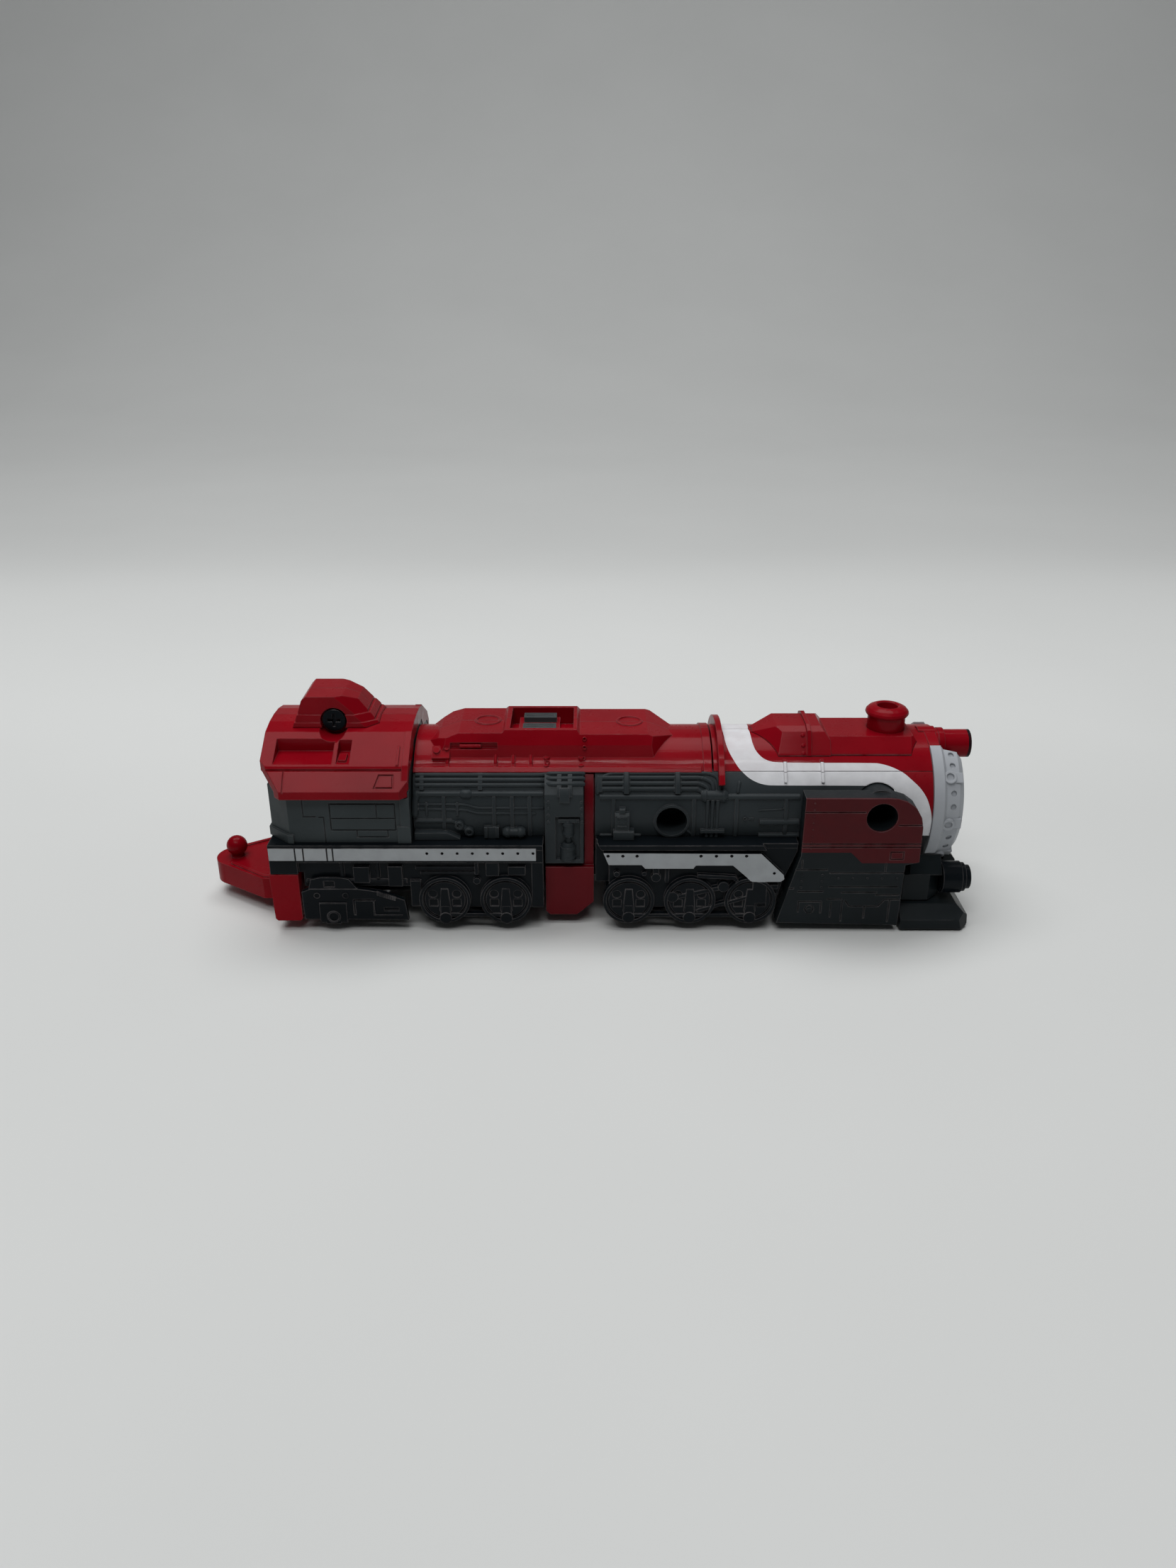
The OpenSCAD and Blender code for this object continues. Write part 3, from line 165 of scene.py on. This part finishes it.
def plastic(name, colour, roughness, paints=(), grain=0.35, wear_and_sheen=0.5, metallic=0.0, shine=0.12, gleam=0.0):
    """Moulded plastic: mottled colour, uneven gloss, fine grain and lighter edges, partly rubbed wear and partly
    painted highlight.

    gleam adds a thin polished skin whose highlights break into short streaks along X.
    Each paint is a function of the graph that returns (mask, paint colour, paint roughness).
    """
    g = Graph(name)
    cloud = g.noise(70.0)
    speck = g.noise(1400.0, 2.0)
    light = tuple(min(1.0, c * LIGHTER + 0.001) for c in colour[:3]) + (1.0,)
    dark = tuple(c * DARKER for c in colour[:3]) + (1.0,)
    base = g.mix(g.spread(cloud, 0.0, 1.0), dark, light)
    uneven = g.spread(g.noise(260.0), -0.05, 0.07)
    gloss = g.math("ADD", uneven, g.spread(speck, roughness - 0.03, roughness + 0.04))
    for paint in paints:
        mask, paint_colour, paint_roughness = paint(g)
        faded = g.mix(g.spread(g.noise(500.0), 0.0, 0.12), paint_colour, dark)
        base = g.mix(mask, base, faded)
        gloss = g.mix(mask, gloss, g.spread(speck, paint_roughness - 0.03, paint_roughness + 0.05))
    rounded_normal = g.add("ShaderNodeBevel", {"Radius": EDGE_RADIUS}, samples=4).outputs[0]
    flat_normal = g.add("ShaderNodeNewGeometry").outputs["Normal"]
    agree = g.add("ShaderNodeVectorMath", {0: rounded_normal, 1: flat_normal}, operation="DOT_PRODUCT")
    # painted highlight and wear: edges are lightened towards a pale colour, partly as rubbed wear and partly
    # standing in for light caught by rounded edges
    edge = g.math("SUBTRACT", 1.0, agree.outputs["Value"])
    edge = g.math("MULTIPLY", edge, g.spread(g.noise(420.0), 0.6 * wear_and_sheen, 5.0 * wear_and_sheen), clamp=True)
    rubbed_and_highlight = g.mix(0.1 + 0.14 * wear_and_sheen, base, RUBBED_AND_HIGHLIGHT)
    base = g.mix(edge, base, rubbed_and_highlight)
    bump = g.add("ShaderNodeBump", {"Strength": grain, "Distance": GRAIN_DEPTH, "Height": g.noise(2600.0, 4.0),
                                    "Normal": rounded_normal})
    shader = g.add("ShaderNodeBsdfPrincipled", {"Base Color": base, "Roughness": gloss, "Metallic": metallic,
                                                "Normal": bump.outputs[0], "Specular IOR Level": shine})
    if gleam:
        stretched = g.add("ShaderNodeVectorMath", {0: g.position, 1: STREAKS}, operation="MULTIPLY")
        grooves = g.add("ShaderNodeTexNoise", {"Vector": stretched.outputs[0], "Scale": 1.0, "Detail": 2.0})
        ripple = g.add("ShaderNodeBump", {"Strength": 0.9, "Distance": GRAIN_DEPTH,
                                          "Height": grooves.outputs["Fac"], "Normal": rounded_normal})
        for key, value in (("Coat Weight", gleam), ("Coat Roughness", 0.1), ("Coat IOR", 1.35),
                           ("Coat Normal", ripple.outputs[0])):
            g.feed(shader.inputs[key], value)
    g.add("ShaderNodeOutputMaterial", {"Surface": shader.outputs[0]})
    return g.material


# ---- painted areas ----


# the stripe stands this far inside the crank caps of the footplate
STRIPE_FACE = outer_face("rear_frame_right") - 0.05 * MM
STRIPE_BAND = 0.03 * MM
SKIRT_EDGE = outer_face("front_skirt_right") - 0.3 * MM


def side_stripe(g):
    """Silver on the raised stripe of a footplate."""
    across = g.math("ABSOLUTE", g.y)
    face = g.both(g.above(across, STRIPE_FACE - STRIPE_BAND), g.below(across, STRIPE_FACE + STRIPE_BAND))
    # the lower edge steps down towards the nose and stays clear of the wheels
    edge = g.ramp(g.x, 26.2 * MM, 28.0 * MM, 11.5 * MM, 9.9 * MM)
    return g.both(face, g.above(g.z, edge)), SILVER, 0.38


def skirt_paint(g):
    """Dark red on the upper part of the front skirt, stepped down towards the nose."""
    face = g.above(g.math("ABSOLUTE", g.y), SKIRT_EDGE)
    step = g.ramp(g.x, 44.4 * MM, 46.4 * MM, 15.6 * MM, 13.6 * MM)
    return g.both(face, g.above(g.z, step)), PAINT_RED, 0.42


SWOOSH_START = 23.4 * MM
SWOOSH_END = 58.6 * MM
# the band's angles run from the top of the boiler down to this one
BAND_SPAN = math.radians(120)
# edges of the white band: (millimetres along the boiler, share of the span)
BAND_LOW = [(23.4, 0.02), (23.7, 0.2), (24.8, 0.33), (26.3, 0.42), (28.3, 0.48), (30.6, 0.505), (47, 0.508),
            (50, 0.62), (52, 0.95), (58.6, 1)]
BAND_HIGH = [(23.4, 0), (27.9, 0), (28.2, 0.17), (29.1, 0.28), (30.6, 0.33), (33, 0.345), (49, 0.35),
             (52.6, 0.4), (54.8, 0.47), (56.8, 0.56), (57.9, 0.66), (58.6, 0.8)]


def band_edges(g):
    """Masks of the boiler shell above the band's lower edge and above its upper edge."""
    height = g.math("SUBTRACT", g.z, BOILER_Z)
    angle = g.math("ARCTAN2", g.math("ABSOLUTE", g.y), height)
    share = g.math("DIVIDE", angle, BAND_SPAN)
    low = g.curve(g.x, [(x * MM, v) for x, v in BAND_LOW], SWOOSH_START, SWOOSH_END)
    high = g.curve(g.x, [(x * MM, v) for x, v in BAND_HIGH], SWOOSH_START, SWOOSH_END)
    across = g.add("ShaderNodeCombineXYZ", {1: g.y, 2: height})
    reach = g.add("ShaderNodeVectorMath", {0: across.outputs[0]}, operation="LENGTH")
    shell = g.above(reach.outputs["Value"], BOILER_R - 0.1 * MM)
    return g.both(g.below(share, low), shell), g.both(g.below(share, high), shell)


def swoosh(g):
    """The white band that wraps the boiler behind the dome and runs forward along both sides."""
    over_low, over_high = band_edges(g)
    along = g.both(g.above(g.x, SWOOSH_START), g.below(g.x, SWOOSH_END))
    return g.both(g.math("SUBTRACT", over_low, over_high, clamp=True), along), WHITE, 0.4


def red_nose(g):
    """Red on the side panels ahead of the white band."""
    ahead = g.above(g.x, 45.0 * MM)
    over_high = band_edges(g)[1]
    return g.both(over_high, ahead), RED, 0.3


def latch_floor(g):
    """Red plate under the two ribbed bars of the latch."""
    return g.below(g.z, 32.52 * MM), RED, 0.3


def lamp_end(g):
    """Dark front edge of the headlamp barrel."""
    return g.above(g.x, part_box("headlamp")[1].x - 0.5 * MM), BLACK, 0.4


# the edge amounts below set both rubbed wear and the painted edge highlight
MATERIALS = {
    "red": plastic("red_plastic", RED, 0.3, grain=0.5, shine=0.03, gleam=0.18),
    "boiler_red": plastic("boiler_red_plastic", RED, 0.3, paints=(swoosh,), grain=0.5, shine=0.03, gleam=0.18),
    "lamp_red": plastic("lamp_red_plastic", RED, 0.3, paints=(lamp_end,), grain=0.5, shine=0.03, gleam=0.18),
    "latch": plastic("latch_plastic", CAB_GREY, 0.34, paints=(latch_floor,), grain=0.5, wear_and_sheen=0.9),
    "dark_red": plastic("core_red_plastic", DEEP_RED, 0.34, grain=0.5),
    "grey": plastic("grey_plastic", GREY, 0.4, grain=0.45),
    "boiler_grey": plastic("boiler_grey_plastic", GREY, 0.4, paints=(swoosh, red_nose), grain=0.45),
    "black": plastic("black_plastic", BLACK, 0.3, grain=0.45, wear_and_sheen=1.0, shine=0.05, gleam=0.1),
    "striped_black": plastic("striped_black_plastic", BLACK, 0.36, paints=(side_stripe,), grain=0.45, wear_and_sheen=1.0,
                             shine=0.05, gleam=0.1),
    "skirt_black": plastic("skirt_black_plastic", SKIRT_GREY, 0.4, paints=(skirt_paint,), grain=0.45, wear_and_sheen=0.8),
    "beam_grey": plastic("beam_grey_plastic", SKIRT_GREY, 0.34, grain=0.45),
    "cab_grey": plastic("cab_grey_plastic", CAB_GREY, 0.4, grain=0.45),
    "pale": plastic("pale_plastic", RING_GREY, 0.34, grain=0.4, wear_and_sheen=0.2),
    "steel": plastic("steel", STEEL, 0.3, metallic=1.0, wear_and_sheen=0.2),
    "black_steel": plastic("black_steel", BLACK, 0.3, metallic=0.7, wear_and_sheen=0.6),
}

LOOKS = {
    "latch": ["latch_insert"],
    "red": ["cab_roof", "roof_tower", "boiler_cover", "rear_foot", "hitch_arm", "collar_ring", "steam_dome",
            "chimney"],
    "boiler_red": ["front_boiler"],
    "lamp_red": ["headlamp"],
    "dark_red": ["waist_core"],
    "cab_grey": ["cab_side", "cab_rear_wall", "cab_front_wall"],
    "grey": ["rear_side_panel", "smokebox_door"],
    "beam_grey": ["front_beam", "pilot"],
    "boiler_grey": ["front_side_panel"],
    "striped_black": ["rear_frame", "front_frame"],
    "skirt_black": ["front_skirt"],
    "pale": ["nose_ring"],
    "steel": ["waist_pin", "hitch_pin", "rear_floor_screws", "front_floor_screws", "tail_axle", "cab_axle",
              "driver_axle", "leading_axle"],
    "black_steel": ["tower_screw"],
}


def look_of(node):
    base = node.removesuffix("_right").removesuffix("_left")
    for look, bases in LOOKS.items():
        if base in bases:
            return MATERIALS[look]
    return MATERIALS["black"]


for node_name, node_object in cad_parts.items():
    node_object.data.materials.clear()
    node_object.data.materials.append(look_of(node_name))


# ---- small mouldings ----

# how deep a moulding is rooted in the piece that carries it, in millimetres
ROOT = 0.2
DEEP_ROOT = 0.3
SIDEWAYS = Vector((0.0, -1.0, 0.0))
# on the dome's flank, square to it
FLANK_OUT = Vector((0.0, -0.79, 0.61))
# on the boiler cover's ridge, square to its side
RIDGE_OUT = Vector((0.0, -0.95, 0.3))


def around(x, angle, lift=0.0):
    """The same as Moulding.around, with X as the frame has it."""
    turn = math.radians(angle)
    reach = BOILER_R / MM + lift
    return Vector((x, -reach * math.sin(turn), BOILER_Z / MM + reach * math.cos(turn)))


def outward(angle):
    """The direction straight out of the boiler at an angle."""
    return around(0.0, angle, 1.0) - around(0.0, angle)


def rounded(points, radius=0.7, steps=4):
    """The path with each corner replaced by a short curve."""
    path = [points[0]]
    for before, corner, after in zip(points, points[1:], points[2:]):
        back, ahead = before - corner, after - corner
        reach = min(radius, back.length / 2, ahead.length / 2)
        start, end = corner + back.normalized() * reach, corner + ahead.normalized() * reach
        for step in range(steps + 1):
            t = step / steps
            path.append(start * (1 - t) ** 2 + corner * (2 * t * (1 - t)) + end * t ** 2)
    path.append(points[-1])
    return path


class Moulding:
    """Collects closed shapes, in millimetres, that are moulded on one side; the other side gets a mirror image.

    X runs forward from the rear end of the CAD node that carries the shapes. Y and Z are the frame's own.
    """

    def __init__(self, name, carrier, body, look, slot):
        self.name, self.body, self.look, self.slot = name, body, look, slot
        # to the nearest 0.1 mm, as the part is drawn
        self.start = round(rear_end(carrier) / MM, 1)
        self.bm = bmesh.new()

    def point(self, x, y, z):
        return Vector((self.start + x, y, z))

    def around(self, x, angle, lift=0.0):
        """A point on the right-hand side of the boiler, angle in degrees down from the top."""
        return around(self.start + x, angle, lift)

    def loft(self, rings):
        """Joins rings of points into one closed shape."""
        loops = [[self.bm.verts.new(point) for point in ring] for ring in rings]
        for a, b in zip(loops, loops[1:]):
            for i in range(len(a)):
                j = (i + 1) % len(a)
                self.bm.faces.new((a[i], a[j], b[j], b[i]))
        self.bm.faces.new(loops[0][::-1])
        self.bm.faces.new(loops[-1])

    def circle(self, centre, axis, radius, sides):
        spin = axis.to_track_quat("Z", "Y")
        turns = [2 * math.pi * i / sides for i in range(sides)]
        return [centre + spin @ Vector((radius * math.cos(t), radius * math.sin(t), 0.0)) for t in turns]

    def turned(self, at, axis, profile, sides):
        """A round shape about an axis, from (level, radius) pairs."""
        axis = axis.normalized()
        self.loft([self.circle(at + axis * level, axis, radius, sides) for level, radius in profile])

    def tube(self, points, radius, sides=12):
        """A round bar along points, with rounded corners and domed ends."""
        path = rounded(points)
        heads = [b - a for a, b in zip(path, path[1:])]
        axes = [heads[0]] + [a.normalized() + b.normalized() for a, b in zip(heads, heads[1:])] + [heads[-1]]
        first, last = heads[0].normalized(), heads[-1].normalized()
        dome = radius * 0.6
        rings = [self.circle(path[0] - first * dome, first, dome, sides)]
        rings += [self.circle(at, axis.normalized(), radius, sides) for at, axis in zip(path, axes)]
        rings += [self.circle(path[-1] + last * dome, last, dome, sides)]
        self.loft(rings)

    def pipe(self, stops, radius, lift=0.0):
        """A tube laid on the boiler side through (x, angle) stops."""
        arc = math.radians(1.0) * BOILER_R / MM
        flat = rounded([self.point(x, angle * arc, 0.0) for x, angle in stops])
        path = []
        for a, b in zip(flat, flat[1:]):
            pieces = max(1, int(abs(b.y - a.y) / (4 * arc)))
            path += [a.lerp(b, step / pieces) for step in range(pieces)]
        path.append(flat[-1])
        self.tube([around(at.x, at.y / arc, lift) for at in path], radius)

    def stud(self, at, axis, radius, height):
        """A domed rivet head."""
        self.turned(at, axis, [(-ROOT, radius), (height * 0.5, radius), (height * 0.85, radius * 0.75),
                               (height, radius * 0.4)], 16)

    def eye(self, at, axis, outer, inner, height):
        """A round boss with a hole in its end."""
        self.turned(at, axis, [(-DEEP_ROOT, outer), (height - 0.1, outer), (height, outer - 0.08),
                               (height, inner + 0.05), (height - 0.08, inner), (height - 0.35, inner)], 20)

    def pad(self, x0, x1, angle0, angle1, height):
        """A raised pad on the boiler side with softened edges."""
        soft = min(0.12, height / 2)
        steps = max(2, int(abs(angle1 - angle0) / 4))
        rings = []
        for step in range(steps + 1):
            angle = angle0 + (angle1 - angle0) * step / steps
            top = height - soft if step in (0, steps) else height
            section = [(x0, -DEEP_ROOT), (x0, top - soft), (x0 + soft, top), (x1 - soft, top), (x1, top - soft),
                       (x1, -DEEP_ROOT)]
            rings.append([self.around(x, angle, lift) for x, lift in section])
        self.loft(rings)

    def plate(self, outline, face, height):
        """A flat raised plate on a side face, from a convex (x, z) outline."""
        middle = sum((Vector(point) for point in outline), Vector((0.0, 0.0))) / len(outline)
        soft = min(0.1, height * 0.6)
        rings = []
        for out, inset in ((-ROOT, 0.0), (height - soft, 0.0), (height, soft)):
            ring = []
            for point in outline:
                inward = (middle - Vector(point)).normalized() * inset
                ring.append(self.point(point[0] + inward.x, -face - out, point[1] + inward.y))
            rings.append(ring)
        self.loft(rings)

    def bar(self, x0, x1, z0, z1, face, height):
        self.plate([(x0, z0), (x1, z0), (x1, z1), (x0, z1)], face, height)

    def prism(self, x0, x1, profile):
        """A (y, z) profile carried along X."""
        self.loft([[self.point(x, y, z) for y, z in profile] for x in (x0, x1)])

    def finish(self):
        """Makes the right-hand piece and its mirror image, and puts both on their body."""
        bmesh.ops.scale(self.bm, vec=(MM, MM, MM), verts=self.bm.verts)
        for suffix, side in (("right", 1.0), ("left", -1.0)):
            half = self.bm.copy()
            bmesh.ops.scale(half, vec=(1.0, side, 1.0), verts=half.verts)
            bmesh.ops.recalc_face_normals(half, faces=half.faces)
            mesh = bpy.data.meshes.new(self.name + "_" + suffix)
            half.to_mesh(mesh)
            half.free()
            mesh.shade_smooth()
            mesh.set_sharp_from_angle(angle=math.radians(40))
            mesh.materials.append(MATERIALS[self.look])
            piece = bpy.data.objects.new(mesh.name, mesh)
            bpy.context.scene.collection.objects.link(piece)
            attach(piece, self.body)
        self.bm.free()


def rear_pipework():
    m = Moulding("rear_pipework", "rear_side_panel_right", "rear_section", "grey", "grey_plastic")
    # rails climb onto the upright panel
    for angle, climb in ((52.0, 0.8), (56.2, 1.2), (60.4, 1.75)):
        stops = [(20.6, 0.0), (22.0, 0.0), (23.0, climb), (28.9, climb)]
        m.tube([m.around(x, angle, lift) for x, lift in stops], 0.38)
    # pair of thin pipes with two knuckles
    m.pipe([(0.4, 76), (8.9, 76), (10.8, 79), (22.0, 79)], 0.24)
    m.pipe([(0.4, 79.5), (8.9, 80.5), (10.8, 83.5), (20.7, 83.5)], 0.24)
    for x in (2.3, 7.5):
        m.pad(x - 0.22, x + 0.22, 74, 85, 0.42)
    # elbow behind the cab, and the joint in the long pipe
    m.pipe([(0.7, 67), (0.4, 73), (0.3, 85)], 0.6)
    m.pipe([(8.4, 67.5), (9.6, 67.5)], 0.78)
    # low pipe with its twin valve
    valves = [(7.8, 93), (9.4, 99)]
    m.pipe([(5.4, 90), (6.5, 90), (7.7, 93)], 0.38)
    for x, angle in valves:
        m.eye(m.around(x, angle), outward(angle), 0.8, 0.38, 0.8)
    m.pipe(valves, 0.5, 0.2)
    # posts of the clamp box and flanges of the barrel
    for x in (12.0, 13.9):
        m.bar(x, x + 0.6, 17.0, 19.1, 12.7, 0.3)
    for x in (15.7, 17.9):
        m.tube([m.point(x, -12.3, 17.9), m.point(x + 0.45, -12.3, 17.9)], 1.02, 18)
    m.finish()


def panel_bracket():
    m = Moulding("panel_bracket", "rear_side_panel_right", "rear_section", "grey", "grey_plastic")
    upper = [(-13.35, 24.9), (-13.35, 25.35), (-12.2, 26.85), (-10.5, 27.9), (-10.2, 27.4), (-11.8, 26.4),
             (-12.9, 25.0)]
    lower = [(-13.5, 23.9), (-13.5, 25.3), (-12.7, 26.3), (-12.2, 26.0), (-12.9, 25.0), (-12.9, 23.9)]
    for x in (24.4, 26.2):
        m.prism(x, x + 0.75, upper)
    m.prism(24.85, 26.5, lower)
    # screws on the crosshead of the pump, and bands round its barrels
    for x in (24.9, 26.3, 27.7):
        m.stud(m.point(x, -13.3, 20.4), SIDEWAYS, 0.2, 0.15)
    for z, radius in ((13.5, 1.4), (15.1, 1.4), (17.9, 1.03), (19.5, 1.03)):
        m.tube([m.point(26.2, -12.7, z), m.point(26.2, -12.7, z + 0.25)], radius, 20)
    m.finish()


def cover_trim():
    m = Moulding("cover_trim", "boiler_cover_right", "rear_section", "red", "red_plastic")
    # clasps low on the shell, and two bosses on the ridge
    for x, angle in ((22.7, 37), (22.7, 41.5), (22.7, 46), (28.8, 38), (28.7, 45.7)):
        m.eye(m.around(x, angle), outward(angle), 0.45, 0.22, 0.22)
    for y, z in ((-7.0, 31.3), (-6.4, 32.6)):
        m.eye(m.point(29.0, y, z), RIDGE_OUT, 0.42, 0.2, 0.3)
    # ribs of the shell, heavier at the foot
    for x in (5.7, 13.9, 16.9, 19.9):
        m.pipe([(x, 34), (x, 42.5)], 0.3, 0.1)
    m.finish()


def front_pipework():
    m = Moulding("front_pipework", "front_side_panel_right", "front_section", "grey", "grey_plastic")
    # frame round the bank of pipes, open at the bottom
    m.pipe([(0.4, 67), (0.4, 63), (0.9, 55), (2.5, 50.8), (19.2, 50.8), (20.5, 53), (21.0, 57.5), (21.0, 67)],
           0.36)
    # the three pipes bend down into the coupling
    m.pipe([(16.4, 54.5), (18.2, 54.5), (19.9, 58.5), (20.0, 67)], 0.4)
    m.pipe([(16.4, 59), (17.7, 59), (19.0, 62), (19.1, 67)], 0.4)
    m.pipe([(16.4, 63.5), (17.3, 63.5), (18.1, 66), (18.1, 68)], 0.4)
    for x in (5.3, 13.95):
        m.pad(x - 0.45, x + 0.45, 50.5, 67.5, 0.75)
    # collars of the coupling, and stubs below its flange
    for x in (18.6, 21.7):
        m.pipe([(x - 0.1, 69), (x + 0.1, 69)], 1.1)
    for x in (19.0, 19.85, 20.7):
        m.pipe([(x, 101), (x, 104)], 0.36)
    # diagonal rib, low bend and thin loop
    m.pipe([(24.4, 58), (24.1, 66)], 0.3)
    m.pipe([(15.5, 98), (16.5, 103), (16.6, 104)], 0.26)
    m.pipe([(27.7, 81), (31.8, 80), (32.4, 78)], 0.16)
    # small drain valve
    m.eye(m.around(25.4, 88), outward(88), 0.36, 0.16, 0.25)
    m.pad(26.0, 27.0, 86.8, 89.6, 0.22)
    # bands and screws of the small pump
    for z in (19.2, 20.9):
        m.bar(3.7, 5.5, z, z + 0.3, 13.0, 0.2)
    for x in (4.0, 5.2):
        m.stud(m.point(x, -13.0, 20.2), SIDEWAYS, 0.18, 0.15)
    m.finish()


def dome_trim():
    m = Moulding("dome_trim", "front_boiler_right", "front_section", "red", "red_plastic")
    # rivets beside the strap, on the flank of the dome
    for y, z in ((-4.75, 32.6), (-5.9, 31.15), (-6.75, 30.05)):
        m.stud(m.point(15.4, y, z), FLANK_OUT, 0.38, 0.22)
    m.finish()


def skirt_rivets():
    m = Moulding("skirt_rivets", "front_skirt_right", "front_section", "skirt_black", "black_plastic")
    face = outer_face("front_skirt_right") / MM
    # column at the rear edge, two groups below it and a row along the skirt
    for row in range(8):
        m.stud(m.point(5.0, -face, 16.3 + row * 1.22), SIDEWAYS, 0.16, 0.12)
    for x in (3.8, 7.3):
        for z in (11.3, 10.1, 8.95):
            m.stud(m.point(x, -face, z), SIDEWAYS, 0.24, 0.16)
    for step in range(5):
        m.stud(m.point(10.0 + step * 2.5, -face, 10.7), SIDEWAYS, 0.22, 0.15)
    # knob in the hatch
    m.stud(m.point(5.5, -face, 4.4), SIDEWAYS, 0.45, 0.2)
    m.finish()


def bogie_trim():
    m = Moulding("bogie_trim", "bogie_panel_right", "rear_section", "black", "black_plastic")
    bracket_face = outer_face("bogie_panel_right") / MM
    face = bracket_face - 0.1
    bracket_rear, bracket_front, axle_x = 2.8, 7.5, 5.15
    for x in (2.6, 7.5):
        m.eye(m.point(x, -face, 7.3), SIDEWAYS, 0.62, 0.4, 0.18)
    # square axle bracket with its boss
    m.prism(bracket_rear, bracket_front, [(-15.55, 5.8), (-15.55, 2.2), (-15.3, 1.85), (-14.2, 1.85), (-14.2, 5.9),
                                          (-15.45, 5.9)])
    m.eye(m.point(axle_x, -bracket_face, 3.1), SIDEWAYS, 1.15, 0.85, 0.3)
    m.bar(bracket_rear, bracket_front, 5.75, 5.95, bracket_face, 0.14)
    # angle moulding and slanted grip
    m.bar(12.1, 12.38, 3.3, 6.0, face, 0.2)
    m.bar(12.1, 17.1, 3.3, 3.6, face, 0.2)
    m.plate([(12.8, 7.3), (12.9, 8.1), (16.2, 6.9), (16.0, 6.2)], face, 0.1)
    for step in range(9):
        x, z = 13.0 + step * 0.36, 7.7 - step * 0.128
        m.bar(x, x + 0.16, z - 0.4, z + 0.36, face, 0.22)
    m.finish()


for build in (rear_pipework, panel_bracket, cover_trim, front_pipework, dome_trim, skirt_rivets, bogie_trim):
    build()


# ---- stage ----


# where the sheet starts and bends, its bend radius, the wall's height and half the width, in metres
SHEET_NEAR, SHEET_BEND, SHEET_RADIUS, SHEET_TOP, SHEET_HALF = -2.4, 0.5, 0.9, 1.3, 2.6
BEND_STEPS = 24
# painted light and shade on the sheet: how light it is by place, from in front of the toy (0) to the back wall (1)
TONE_NEAR, TONE_FAR = -0.2, 1.3
SHEET_PAINTED_SHADE = [(0.0, 0.79), (0.14, 0.79), (0.2, 0.83), (0.26, 0.79), (0.34, 0.67), (0.5, 0.71), (0.75, 0.81),
              (1.0, 0.92)]


def floor_and_wall():
    """One seamless pale sheet: floor, curved corner and back wall, with painted shade across it."""
    line = [(SHEET_NEAR, 0.0), (SHEET_BEND, 0.0)]
    for step in range(1, BEND_STEPS + 1):
        turn = math.radians(90 * step / BEND_STEPS)
        line.append((SHEET_BEND + SHEET_RADIUS * math.sin(turn), SHEET_RADIUS * (1 - math.cos(turn))))
    line.append((SHEET_BEND + SHEET_RADIUS, SHEET_TOP))
    bm = bmesh.new()
    rows = [[bm.verts.new((side * SHEET_HALF, y, z)) for side in (-1, 1)] for y, z in line]
    for a, b in zip(rows, rows[1:]):
        bm.faces.new((a[0], a[1], b[1], b[0]))
    mesh = bpy.data.meshes.new("backdrop")
    bm.to_mesh(mesh)
    bm.free()
    mesh.shade_smooth()
    sheet = bpy.data.objects.new("backdrop", mesh)
    bpy.context.scene.collection.objects.link(sheet)
    g = Graph("backdrop_paper")
    tone = g.mix(g.spread(g.noise(9.0), 0.0, 1.0), rgb(0.85, 0.865, 0.855), rgb(0.88, 0.895, 0.885))
    # painted shade: the sheet's colour is darkened and lightened in bands along Y, standing in for light falling
    # off across floor and wall
    painted_falloff = g.curve(g.ramp(g.y, TONE_NEAR, TONE_FAR, 0.0, 1.0), SHEET_PAINTED_SHADE, 0.0, 1.0)
    tone = g.mix(painted_falloff, rgb(0.0, 0.0, 0.0), tone)
    shader = g.add("ShaderNodeBsdfPrincipled", {"Base Color": tone, "Roughness": 0.85})
    g.add("ShaderNodeOutputMaterial", {"Surface": shader.outputs[0]})
    mesh.materials.append(g.material)


def soft_light(name, place, target, size, power):
    """A rectangular lamp at place that faces target."""
    data = bpy.data.lights.new(name, "AREA")
    data.shape = "RECTANGLE"
    data.size, data.size_y = size
    data.energy = power
    lamp = bpy.data.objects.new(name, data)
    lamp.location = place
    lamp.rotation_euler = (Vector(target) - Vector(place)).to_track_quat("-Z", "Y").to_euler()
    bpy.context.scene.collection.objects.link(lamp)


CAMERA_PLACE = (0.0, -0.19135, 0.10848)
CAMERA_PITCH = math.radians(24.5)
CAMERA_LENS = 27.03


def camera():
    """Square to the right-hand side, looking down at it from above."""
    data = bpy.data.cameras.new("camera")
    data.sensor_width = 36.0
    data.lens = CAMERA_LENS
    viewer = bpy.data.objects.new("camera", data)
    viewer.location = CAMERA_PLACE
    viewer.rotation_euler = (math.radians(90) - CAMERA_PITCH, 0.0, 0.0)
    bpy.context.scene.collection.objects.link(viewer)
    bpy.context.scene.camera = viewer


def room_light():
    """Faint cool light from all round."""
    world = bpy.data.worlds.new("studio")
    world.use_nodes = True
    background = world.node_tree.nodes["Background"]
    background.inputs["Color"].default_value = rgb(0.9, 0.93, 0.95)
    background.inputs["Strength"].default_value = 0.07
    bpy.context.scene.world = world


floor_and_wall()
soft_light("key", (-0.1, 0.2, 0.8), (0.0, 0.0, 0.0), (0.8, 0.4), 4.0)
soft_light("strip", (0.0, -0.2, 0.75), (0.0, 0.0, 0.02), (0.35, 0.025), 0.8)
soft_light("front", (-0.1, -0.5, 0.8), (0.0, 0.0, 0.01), (0.6, 0.2), 2.2)
soft_light("wall", (0.0, 0.45, 1.1), (0.0, 1.3, 0.5), (1.8, 0.3), 2.6)
room_light()
bpy.context.scene.view_settings.view_transform = "Standard"
camera()
